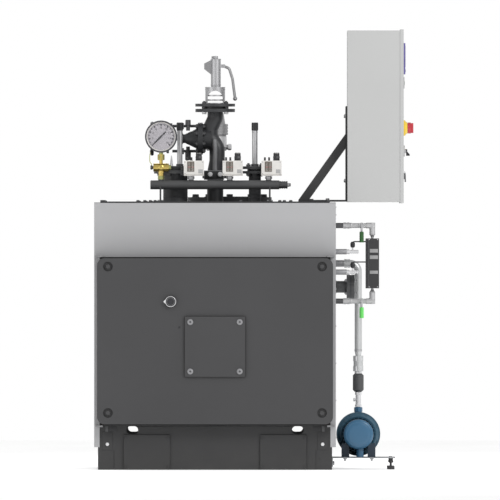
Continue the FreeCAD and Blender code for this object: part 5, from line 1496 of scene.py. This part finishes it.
@dataclass
class PressureSwitches:
    """The three pressure switches on the header."""

    window_width: float = 33.0
    window_height: float = 48.0
    case_height: float = 71.0
    marks: int = 9
    mark_pitch: float = 4.4
    stem_offset: float = 13.5
    spindles: tuple[float, float] = (-30.7, -11.1)
    gland_offset: float = 23.0

    def build(self) -> None:
        """Dress and detail each switch."""
        for name in SWITCH_NAMES:
            node = f"pressure_switch_{name}"
            dress(SWITCH_WHITE, 2.2, node)
            self._detail(name, box_of(node))

    def _detail(self, name: str, box: Span) -> None:
        """Add a switch's window and scale, spindles, gland, seams, screws and stem nut.

        Args:
            name: which switch.
            box: its node's box.
        """
        y = box.low.y
        high = box.high.z - 35
        low = high - self.case_height
        made = Forge(f"pressure_switch_{name}_parts")
        left = box.low.x + 16
        bottom = high - 4 - self.window_height
        made.block(WINDOW_BROWN, (left, y - 1.6, bottom), (left + self.window_width, y + 2, high - 4), 1)
        for column in range(2):
            centre = left + 9 + column * 16
            for step in range(self.marks):
                z = high - 11 - step * self.mark_pitch
                wide = 4.2 if step % 2 == 0 else 2.6
                near, far = (centre - wide, y - 1.9, z - 0.45), (centre + wide, y - 1.5, z + 0.45)
                made.block(SCALE_WHITE, near, far)
            made.block(RED, (centre - 5, y - 2.3, high - 31), (centre + 5, y - 1.6, high - 29.4))
        edge, end = box.low.x, box.high.x
        made.block(SWITCH_WHITE, (edge - 0.9, y - 1.2, low + 3), (end + 0.9, y + 3, low + 6.5), 0.8)
        made.block(CABINET_EDGE, (end - 26, y - 0.35, low + 12), (end - 5, y + 0.2, low + 30), 0.1)
        for x in (edge + 6, end - 6):
            for z in (low + 10, high - 7):
                made.lathe(ZINC, (x, y, z), Axis.FRONT, [(0, 2.6), (0.9, 2.6), (1.3, 1.6)], 16)
        middle = box.middle
        spindle = [(0, 5.6), (3, 5.6), (3, 4.5), (14, 4.5), (16, 3.2)]
        for offset in self.spindles:
            made.lathe(BLACK_PLASTIC, (middle.x + offset, middle.y, high), Axis.UP, spindle, 20)
        gland = [(0, 15.2), (7, 15.2), (8, 14), (26, 14.1), (33, 14.1), (37, 12)]
        place = (middle.x + self.gland_offset, middle.y, high)
        made.lathe(BLACK_PLASTIC, place, Axis.UP, gland, 24)
        made.lathe(BLACK_PLASTIC, place, Axis.UP, [(9, 15.4), (19, 15.4), (21, 14)], 8)
        stem = (middle.x - self.stem_offset, middle.y, low)
        made.lathe(ZINC, stem, Axis.DOWN, [(-0.5, 17), (2, 17), (3, 12.5), (16.8, 12.5)], 32)
        made.lathe(ZINC, stem, Axis.DOWN, [(5, 16.5), (13, 16.5), (14.5, 14)], 6)
        made.done()


@dataclass
class VentValve:
    """The vent valve behind the steam valve, with its grooved cap."""

    axis_x: float = 6.0
    cap_height: float = 313.0
    rings: int = 4
    ring_pitch: float = 13.0

    def build(self) -> None:
        """Dress the valve and ring its cap."""
        dress(VENT_SILVER, 1.5, "vent_valve")
        box = box_of("vent_valve")
        x, y = self.axis_x, box.middle.y
        made = Forge("vent_valve_rings")
        cap = DECK + self.cap_height
        ring = [(0, 51), (0.8, 54.0), (8.0, 54.0), (8.9, 51)]
        for step in range(self.rings):
            low = cap + 1 + step * self.ring_pitch
            made.tubular(VENT_SILVER, (x, y, low), Axis.UP, ring, 64)
        made.tubular(BRIGHT, (x, y, cap - 58), Axis.UP, [(0, 45), (1, 47.5), (50, 47.5), (52, 45)], 64)
        made.lathe(BRIGHT, (x + 54, y, cap - 57), Axis.RIGHT, [(0, 15), (11, 15), (14.5, 13)], 6)
        made.lathe(ZINC, (x - 65, y, cap - 57), Axis.RIGHT, [(0.5, 13), (3, 15), (11, 15)], 6)
        made.lathe(BLACK_STEEL, (x, y, DECK), Axis.UP, [(0, 32), (8, 32), (10, 24), (30, 24)], 40)
        made.done()


@dataclass
class CabinetBracket:
    """The bracket that carries the cabinet, with its bolts and braces."""

    bolt: float = 9.0
    bolt_levels: tuple[float, float] = (1347.0, 1649.0)
    foot_bolts: tuple[float, float] = (525.0, 412.0)
    foot_length: float = 68.0

    def build(self) -> None:
        """Dress the bracket and bolt it to the top plate and the cabinet."""
        dress(FRAME_GRAPHITE, 1.0, "cabinet_bracket", "cabinet_braces")
        bracket = box_of("cabinet_bracket")
        made = Forge("bracket_bolts")
        face = bracket.high.x - 8
        for y in (bracket.low.y + 60, bracket.middle.y, bracket.high.y - 60):
            for z in self.bolt_levels:
                made.bolt(ZINC, (face, y, z), Axis.LEFT, self.bolt)
            for x in self.foot_bolts:
                made.bolt(ZINC, (x, y, bracket.low.z + 8), Axis.UP, self.bolt)
        braces = box_of("cabinet_braces")
        for y in (braces.low.y + 6, braces.high.y - 6):
            near, far = (y, y + 3) if y < bracket.middle.y else (y - 3, y)
            foot = braces.low.x + 2, bracket.low.z + 8
            end = (foot[0] + self.foot_length, far, foot[1] + 5)
            made.block(FRAME_GRAPHITE, (foot[0], near, foot[1]), end, 1)
        made.done()


@dataclass
class Cabinet:
    """The control cabinet: its shell, gear plate, door, panel, switches and lock."""

    keys: int = 6
    strip_levels: tuple[float, float] = (1776.0, 1829.0)
    lamp_level: float = 1802.0
    lamp_pitch: float = 40.0
    selector_level: float = 1484.5
    lock_level: float = 1367.0
    screw_offset: float = 29.0
    depth: float = 600.0
    rails: int = 3
    rail_pitch: float = 200.0

    def build(self) -> None:
        """Dress the cabinet and add its gear."""
        dress(CABINET_GREY, 1.6, "cabinet_shell")
        dress(CABINET_GREY, 2.0, "cabinet_door")
        dress(VIOLET, 1.0, "operator_panel")
        dress(YELLOW, 2.0, "main_switch_plate")
        dress(RED, 1.2, "main_switch_knob")
        dress(BLACK_PLASTIC, 1.0, "selector_knob")
        dress(HANDLE_GREY, 0.8, "cabinet_lock")
        self._panel()
        self._switches()
        self._shell()

    def _panel(self) -> None:
        """Add the operator panel's screen, keys and the small strip under it."""
        box = box_of("operator_panel")
        made = Forge("operator_screen")
        low, high = box.low, box.high
        far = (high.x + 0.8, high.y - 14, high.z - 12)
        made.block(SCREEN, (high.x - 1, low.y + 14, low.z + 34), far, 0.6)
        for step in range(self.keys):
            y = low.y + 22 + step * (box.size.y - 44) / (self.keys - 1)
            far = (high.x + 1.6, y + 9, low.z + 22)
            made.block(CABINET_EDGE, (high.x - 1, y - 9, low.z + 9), far, 1.2)
        made.done(Body.CABINET_DOOR)
        strip = Forge("indicator_strip")
        bottom, top = self.strip_levels
        strip.block(BAR_GREY, (high.x - 9, low.y + 30, bottom), (high.x - 4, high.y - 30, top), 1)
        for index, finish in enumerate((GREEN_DARK, DULL_ZINC, DULL_ZINC)):
            place = (high.x - 4.4, low.y + 55 + index * self.lamp_pitch, self.lamp_level)
            strip.lathe(finish, place, Axis.RIGHT, [(0, 9), (1, 9), (1.6, 7)], 28)
        strip.done(Body.CABINET_DOOR)

    def _switches(self) -> None:
        """Add the rings and screws round the main switch, the selector and the lock."""
        plate = box_of("main_switch_plate")
        made = Forge("door_switch_rings")
        middle = plate.middle
        place = (plate.high.x, middle.y, middle.z)
        made.lathe(BLACK_PLASTIC, place, Axis.RIGHT, [(-0.4, 23), (0.5, 22.5)], 40)
        for y in SIDES:
            for z in SIDES:
                place = middle + Vector((0, y, z)) * self.screw_offset
                place.x = plate.low.x + 8
                made.lathe(ZINC, place, Axis.RIGHT, [(0, 3), (1, 3), (1.4, 2)], 16)
        face = box_of("cabinet_door").high.x
        selector = (face, middle.y, self.selector_level)
        section = [(-0.2, 10.5), (6, 10.5), (6, 25), (4.6, 26.5), (-0.2, 26.5)]
        made.tubular(CABINET_EDGE, selector, Axis.RIGHT, section, 40)
        section = [(-0.2, 15), (2.4, 15), (1.6, 18), (-0.2, 18)]
        made.tubular(ZINC, (face, middle.y, self.lock_level), Axis.RIGHT, section, 40)
        made.done(Body.CABINET_DOOR)
        sleeve = Forge("selector_sleeve")
        section = [(6.5, 8.8), (12, 8.8), (12, 9.8), (6.5, 9.8)]
        sleeve.tubular(ZINC, selector, Axis.RIGHT, section, 32)
        sleeve.done(Body.SELECTOR)

    def _shell(self) -> None:
        """Add the gear plate with its rails and posts, and the seal round the opening."""
        box = box_of("cabinet_shell")
        low, high = box.low, box.high.copy()
        high.y = low.y + self.depth
        plate = Forge("gear_plate")
        near, far = (low.x + 8, low.y + 30, low.z + 30), (low.x + 10.5, high.y - 30, high.z - 30)
        plate.block(GALVANISED, near, far, 0.8)
        for step in range(self.rails):
            z = low.z + self.rail_pitch * (step + 1)
            plate.block(ZINC, (low.x + 10.5, low.y + 60, z), (low.x + 18, high.y - 60, z + 35), 0.8)
        for y in (low.y + 45, high.y - 85):
            far = (low.x + 50, y + 40, high.z - 60)
            plate.block(CABINET_EDGE, (low.x + 10.5, y, low.z + 60), far, 2)
        plate.done()
        seal = Forge("cabinet_seal")
        x = box_of("cabinet_door").low.x - 5
        outer = (low.y + 0.3, low.z + 0.3), (high.y - 1, high.z - 0.3)
        inner = (low.y + 8, low.z + 8), (high.y - 8, high.z - 8)
        for a, b in strips(outer, inner):
            seal.block(CABINET_GREY, (x - 2, a[0], a[1]), (x + 4.4, b[0], b[1]), 0.3)
        seal.done()


@dataclass
class LevelGauge:
    """The level gauge, its two lines and their green cock levers."""

    bars: tuple[tuple[float, float], ...] = ((1011, 1028), (981, 998), (912, 927))
    cover_levels: tuple[float, float] = (851.0, 1072.0)
    upper_line: float = 1137.0
    lower_line: float = 784.5
    elbow_x: float = 683.0

    def build(self) -> None:
        """Dress the gauge and its lines, and add nuts, bars and cock parts."""
        dress(FRAME_GRAPHITE, 1.5, "level_gauge")
        dress(PIPE_ZINC, 0.8, "level_lines")
        dress(GREEN_DARK, 1.5, "level_cock_upper")
        dress(GREEN, 1.5, "level_cock_lower")
        self._body()
        self._lines()
        self._levers()

    def _body(self) -> None:
        """Add the light bars on the front, the dark seam beside them and the cover's screws."""
        box = box_of("level_gauge")
        made = Forge("level_gauge_bars")
        for low, high in self.bars:
            made.block(BAR_GREY, (721, box.low.y - 1.5, low), (759.5, box.low.y + 1, high), 1)
        bottom, top = self.cover_levels
        made.block(BLACK_STEEL, (704, box.low.y - 0.7, bottom), (716, box.low.y + 0.5, top), 0.3)
        for z in self.cover_levels:
            for x in (718, 757):
                made.lathe(ZINC, (x, box.low.y, z), Axis.FRONT, [(0, 2.6), (1, 2.6), (1.4, 1.6)], 12)
        made.done()

    def _lines(self) -> None:
        """Add hexagons, collars and the cones where the lines meet the wall and the gauge."""
        gauge = box_of("level_gauge")
        y, x = gauge.middle.y, gauge.middle.x
        wall = box_of("casing_right").high.x
        made = Forge("level_line_nuts")
        nut = [(0, 14.4), (12, 14.4), (13, 12), (17, 12), (18, 14.4), (28, 14.4)]
        union = [(0, 5), (14, 10), (17, 13.6), (32, 13.6), (34, 11.8)]
        run = (
            (PIPE_ZINC, wall + 36, Axis.RIGHT, nut, 6),
            (PIPE_ZINC, wall + 66, Axis.RIGHT, [(0, 11.6), (3, 12.8), (8, 12.8), (10, 11.6)], 32),
            (PIPE_ZINC, self.elbow_x, Axis.FRONT, [(-14, 14), (16.2, 14), (16.2, 8)], 32),
            (PIPE_ZINC, self.elbow_x + 20, Axis.RIGHT, [(0, 11.5), (2, 13.4), (42, 13.4), (43.5, 11)], 32),
        )
        ends = ((self.upper_line, Axis.UP, gauge.high.z), (self.lower_line, Axis.DOWN, gauge.low.z))
        for z, axis, edge in ends:
            made.lathe(DARK_STEEL, (wall, y, z), Axis.RIGHT, [(0.2, 12.4), (33, 12.4), (34, 11.6)], 32)
            for finish, along, way, profile, sides in run:
                made.lathe(finish, (along, y, z), way, profile, sides)
            made.lathe(PIPE_ZINC, (x, y, z), axis, [(-43, 10), (-40, 13.4), (11.5, 13.4), (13.2, 10)], 32)
            made.lathe(PIPE_ZINC, (x, y, edge), axis, union, 6)
            ring = [(37, 11.2), (38, 12.8), (42, 12.8), (43, 11.2)]
            made.tubular(PIPE_ZINC, (x, y, edge), axis, ring, 32)
        made.done()

    def _levers(self) -> None:
        """Sleeve each lever's steel stem and add its clamping nut."""
        levers = (("upper", Body.COCK_UPPER, GREEN_DARK), ("lower", Body.COCK_LOWER, GREEN))
        for name, body, finish in levers:
            box = box_of(f"level_cock_{name}")
            x, y, z = box.middle.x, box.low.y + 9.75, box.high.z - 5
            made = Forge(f"level_cock_{name}_steel")
            made.lathe(ZINC, (x, y, z), Axis.DOWN, [(-5.2, 3), (-4, 6), (4, 6), (6, 5), (28.4, 5)], 24)
            made.lathe(ZINC, (x, y, z), Axis.FRONT, [(-14, 5.4), (3, 5.4), (3, 7.4), (8, 7.4), (9, 6)], 6)
            grip = box.low.z
            for step in range(4):
                ring = [(4, 9.6), (5, 10.3), (8, 10.3), (9, 9.6)]
                made.tubular(finish, (x, y, grip + step * 11), Axis.UP, ring, 32)
            made.done(body)


@dataclass
class SideFittings:
    """The wall probes, the blowdown connection and the feed line."""

    probe_levels: tuple[float, float] = (1015.0, 920.0)
    blowdown_circle: float = 42.5
    feed_level: float = 960.0

    def build(self) -> None:
        """Dress the fittings and detail each."""
        dress(BRIGHT, 0.8, "wall_probes")
        dress(FEED_STEEL, 0.8, "feed_pipe")
        dress(FLANGE_IRON, 1.4, "blowdown_flange")
        dress(HEADER_PAINT, 1.2, "check_valve")
        self._probes()
        self._blowdown()
        self._feed()

    def _probes(self) -> None:
        """Add hexagons on the probes, black plugs and the dark sleeve of each lead."""
        wall = box_of("casing_right").high.x
        y = box_of("level_gauge").middle.y
        side = box_of("level_gauge").low.x
        made = Forge("probe_fittings")
        for z in self.probe_levels:
            made.lathe(DULL_ZINC, (wall, y, z), Axis.RIGHT, [(0.2, 12.6), (50, 12.6), (52.5, 11)], 32)
            made.lathe(BRIGHT, (wall + 53, y, z), Axis.RIGHT, [(0, 11), (10, 11), (12, 8)], 6)
            for step in range(4):
                tip = [(70, 7.2), (71, 8.6), (76, 8.6), (77, 7.2)]
                made.tubular(BRIGHT, (wall + step * 9, y, z), Axis.RIGHT, tip, 28)
            plug = [(-14, 5), (-12, 9), (-6, 10.8), (6, 10.8), (11, 8), (14, 5)]
            made.lathe(BLACK_PLASTIC, (wall + 79, y, z + 33), Axis.UP, plug, 24)
            bend = [(79, 40), (81, 44.5), (86, 46.8), (92, 47.1)]
            lead = [(wall + a, y, z + b) for a, b in bend] + [(side + 0.5, y, z + 47.1)]
            made.tube(BLACK_PLASTIC, lead, 2.9)
        made.done()

    def _blowdown(self) -> None:
        """Bolt the blowdown flange pair, with its gasket and the weld at its neck."""
        box = box_of("blowdown_flange")
        centre = box.middle
        made = Forge("blowdown_bolts")
        made.bolt_ring(
            ZINC, (box.high.x - 37, centre.y, centre.z), Axis.LEFT, self.blowdown_circle, 4, 8, 3
        )
        gasket = [(-22, 30), (-22, 55.5), (-15, 55.5), (-15, 30)]
        made.tubular(POT_IRON, (box.high.x, centre.y, centre.z), Axis.RIGHT, gasket, 64)
        back = (box.high.x - 36, centre.y, centre.z)
        for place in around(back, Axis.RIGHT, self.blowdown_circle, 4):
            made.lathe(DARK_STEEL, place, Axis.RIGHT, [(0, 6), (44, 6), (45, 5)], 16)
            made.lathe(ZINC, place, Axis.RIGHT, [(36, 8.5), (41, 8.5), (42, 7.5)], 6)
        weld = [(0.5, 27), (1, 32), (4, 28.5), (5, 27)]
        made.tubular(POT_IRON, (box.low.x, centre.y, centre.z), Axis.RIGHT, weld, 48)
        made.done()

    def _feed(self) -> None:
        """Add the feed line's unions, rings and the check valve's hexagons."""
        pipe = box_of("feed_pipe")
        valve = box_of("check_valve")
        x, y = valve.middle.x, valve.middle.y
        wall = pipe.low.x
        made = Forge("feed_line_nuts")
        level = self.feed_level
        made.lathe(DULL_ZINC, (wall, y, level), Axis.RIGHT, [(0.2, 15.8), (37, 15.8), (39, 15)], 32)
        union = [(0, 20.5), (12, 20.5), (13, 18), (15, 18), (16, 20.5), (27, 20.5)]
        made.lathe(ZINC, (wall + 41, y, level), Axis.RIGHT, union, 6)
        coupling = [(0, 24), (24, 24), (26, 20), (46, 20), (48, 24), (70, 24), (73, 20)]
        for finish, z, profile, sides in (
            (BRIGHT, 456, coupling, 6),
            (STAINLESS, 548, [(0, 17.3), (6, 17.8), (12, 17.3)], 40),
            (BRIGHT, 446, [(0, 17), (9.5, 17)], 6),
            (BRIGHT, 346, [(0, 15), (12, 15), (14, 13)], 6),
            (BRIGHT, 290, [(0, 15), (10, 15), (12, 11)], 6),
        ):
            made.lathe(finish, (x, y, z), Axis.UP, profile, sides)
        drain = [(0, 5), (7, 5), (8, 8), (14, 8), (15, 6)]
        made.lathe(BRIGHT, (x - 8, y, 323), Axis.LEFT, drain, 20)
        made.lathe(BRIGHT, (x, y, 296), Axis.UP, [(0, 12.5), (52, 12.5)], 24)
        made.done()


@dataclass
class FeedPump:
    """The feed pump and motor, on their feet and support plate."""

    fins: int = 26
    fin_root: float = 66.0
    fin_tip: float = 76.0
    fin_half: float = 1.4
    foot_bolts: tuple[float, float] = (607.0, 731.0)

    def build(self) -> None:
        """Dress the pump set and detail each end."""
        dress(PUMP_DEEP, 3.0, "pump_casing")
        dress(PUMP_BLUE, 2.0, "pump_motor")
        dress(FOOT_NAVY, 1.0, "motor_feet")
        dress(GALVANISED, 0.6, "pump_support")
        dress(BLACK_STEEL, 1.0, "levelling_feet")
        self._motor()
        self._casing()
        self._support()

    def _axle(self) -> Vector:
        """Return the middle of the motor's shaft, a radius under the barrel's top."""
        box = box_of("pump_motor")
        return Vector((box.middle.x, box.middle.y, box.high.z - box.size.x / 2))

    def _motor(self) -> None:
        """Add the fan cowl with its rim and the cooling fins along the barrel."""
        box = box_of("pump_motor")
        centre = self._axle()
        front = (centre.x, box.low.y, centre.z)
        made = Forge("motor_cowl")
        rim = [(-0.2, 55), (-1.6, 60), (-5.0, 66), (-11.0, 69.3), (-50.0, 69.6), (-52, 68)]
        made.tubular(PUMP_BLUE, front, Axis.FRONT, rim + [(-50, 66), (-12, 60)], 96)
        made.lathe(PUMP_BLUE, front, Axis.FRONT, [(-1, 56), (0.4, 54), (0.8, 40)], 96)
        for step in range(self.fins):
            angle = 2 * math.pi * (step + 0.5) / self.fins
            out = Vector((math.cos(angle), 0, math.sin(angle)))
            side = Vector((-math.sin(angle), 0, math.cos(angle))) * self.fin_half
            root, tip = centre + out * self.fin_root, centre + out * self.fin_tip
            root.y = tip.y = box.low.y + 54
            outline = [root - side, tip - side * 0.6, tip + side * 0.6, root + side]
            made.sheet(PUMP_DEEP, outline, (0, box.size.y - 66, 0))
        made.done()

    def _casing(self) -> None:
        """Add the casing's stepped rim, its bolts, outlet, plug and back boss."""
        box = box_of("pump_casing")
        motor = box_of("pump_motor")
        x, z = box.middle.x, self._axle().z
        front = (x, motor.high.y, z)
        made = Forge("pump_casing_parts")
        step = [(0.2, 72), (9, 74), (11, 78), (11, 84), (5, 92), (0.2, 96)]
        made.tubular(PUMP_DEEP, front, Axis.FRONT, step, 96)
        made.bolt_ring(PUMP_DEEP, (x, motor.high.y - 1, z), Axis.FRONT, 92.5, 8, 7)
        outlet = (x, box_of("check_valve").middle.y, box.high.z)
        made.lathe(PUMP_BLUE, outlet, Axis.DOWN, [(0.2, 14), (2, 19.5), (22, 19.5), (24, 17)], 8)
        made.lathe(PUMP_DEEP, (x - 58, motor.high.y - 6, z + 62), Axis.FRONT, [(-6, 7), (6, 7), (7, 6)], 6)
        back = (x, box.high.y - 40, z)
        made.lathe(PUMP_BLUE, back, Axis.BACK, [(0.2, 60), (5, 56), (9, 34), (12, 28)], 64)
        made.done()

    def _support(self) -> None:
        """Bolt the motor's feet through the plate, the plate to the base, and detail the levelling feet."""
        feet = box_of("motor_feet")
        plate = box_of("pump_support")
        made = Forge("support_bolts")
        head = [(0, 9), (3, 9), (4, 7), (9, 4.5), (14, 4.5)]
        for x in self.foot_bolts:
            for y in (feet.low.y + 18, feet.high.y - 18):
                made.lathe(ZINC, (x, y, plate.high.z - 4.5), Axis.DOWN, head, 12)
        for y in (plate.low.y + 50, plate.middle.y, plate.high.y - 50):
            made.bolt(ZINC, (plate.low.x + 4.5, y, 28), Axis.RIGHT, 9)
        levelling = box_of("levelling_feet")
        for y in (levelling.low.y + 17, levelling.high.y - 17):
            x = levelling.middle.x
            made.lathe(ZINC, (x, y, plate.high.z), Axis.UP, [(0, 8), (2, 8), (3, 6)], 6)
            made.lathe(BLACK_STEEL, (x, y, 32), Axis.UP, [(0, 10.8), (8, 10.8), (9, 9.8)], 6)
        made.done()


# --- Stage


@dataclass
class Studio:
    """A plain pale floor, soft lights and a camera that looks straight at the front from far off."""

    width: float = 2.325
    distance: float = 95.0
    aim: Point = (0.1628, 0.0, 1.023)
    sensor: float = 36.0
    surround: float = 0.6
    focus: Point = (0.1, 0.0, 1.0)
    reach: float = 14.0
    pale: Colour = (0.84, 0.84, 0.84)
    paler: Colour = (0.88, 0.88, 0.88)

    def build(self) -> None:
        """Set up the stage."""
        self._camera()
        self._floor()
        self._lights()

    def _camera(self) -> None:
        """Place the camera so that the casing's front face fills the frame at the right width."""
        data = bpy.data.cameras.new("camera")
        data.sensor_width = self.sensor
        data.lens = self.sensor * self.distance / self.width
        data.clip_end = 2 * self.distance
        camera = bpy.data.objects.new("camera", data)
        camera.location = (self.aim[0], CAD_BOUNDS[0].y - self.distance, self.aim[2])
        camera.rotation_euler = (math.pi / 2, 0, 0)
        bpy.context.scene.collection.objects.link(camera)
        bpy.context.scene.camera = camera

    def _floor(self) -> None:
        """Lay the floor."""
        graph = Graph("floor_pale")
        cloud = graph.spread(graph.noise(1.2, 3.0), 0.0, 1.0)
        pale = graph.blend(cloud, self.pale, self.paler)
        graph.set(Base_Color=pale, Roughness=0.7, Emission_Color=pale, Emission_Strength=0.5)
        data = bpy.data.meshes.new("floor")
        corners = [(x * self.reach, y * self.reach, 0) for x, y in ((-1, -1), (1, -1), (1, 1), (-1, 1))]
        data.from_pydata(corners, [], [(0, 1, 2, 3)])
        data.materials.append(graph.material)
        floor = bpy.data.objects.new("floor", data)
        bpy.context.scene.collection.objects.link(floor)

    def _lights(self) -> None:
        """Light the stage evenly from a white surround and a few large soft lights."""
        world = bpy.data.worlds.new("surround")
        world.use_nodes = True
        tree = world.node_tree
        seen = add_node(tree, "ShaderNodeLightPath").outputs["Is Camera Ray"]
        ends = {"Value": seen, "To Min": self.surround, "To Max": 1.0}
        level = add_node(tree, "ShaderNodeMapRange", {}, ends)
        sockets = tree.nodes["Background"].inputs
        feed(tree, sockets["Color"], (1.0, 1.0, 1.0, 1.0))
        feed(tree, sockets["Strength"], level.outputs["Result"])
        bpy.context.scene.world = world
        bpy.context.scene.view_settings.view_transform = "Standard"
        for name, place, size, power in (
            ("key", (4.4, -5.0, 4.8), 2.4, 240.0),
            ("fill", (-4.6, -4.2, 1.8), 3.0, 45.0),
            ("back", (-1.0, 5.0, 4.0), 3.0, 90.0),
        ):
            data = bpy.data.lights.new(name, "AREA")
            data.size = size
            data.energy = power
            light = bpy.data.objects.new(name, data)
            light.location = place
            aim = Vector(self.focus) - Vector(place)
            light.rotation_euler = aim.to_track_quat("-Z", "Y").to_euler()
            bpy.context.scene.collection.objects.link(light)


def main() -> None:
    """Build the stage and every sub-assembly, in order."""
    logging.basicConfig(level=logging.INFO, format="%(name)s %(message)s")
    Studio().build()
    for part in (
        BaseFrame(),
        Casing(),
        FurnaceDoor(),
        TopDeck(),
        Header(),
        LevelPots(),
        SteamValve(),
        SafetyValve(),
        PressureGauge(),
        PressureSwitches(),
        VentValve(),
        CabinetBracket(),
        Cabinet(),
        LevelGauge(),
        SideFittings(),
        FeedPump(),
    ):
        LOG.info("building %s", type(part).__name__)
        part.build()


if __name__ == "__main__":
    main()
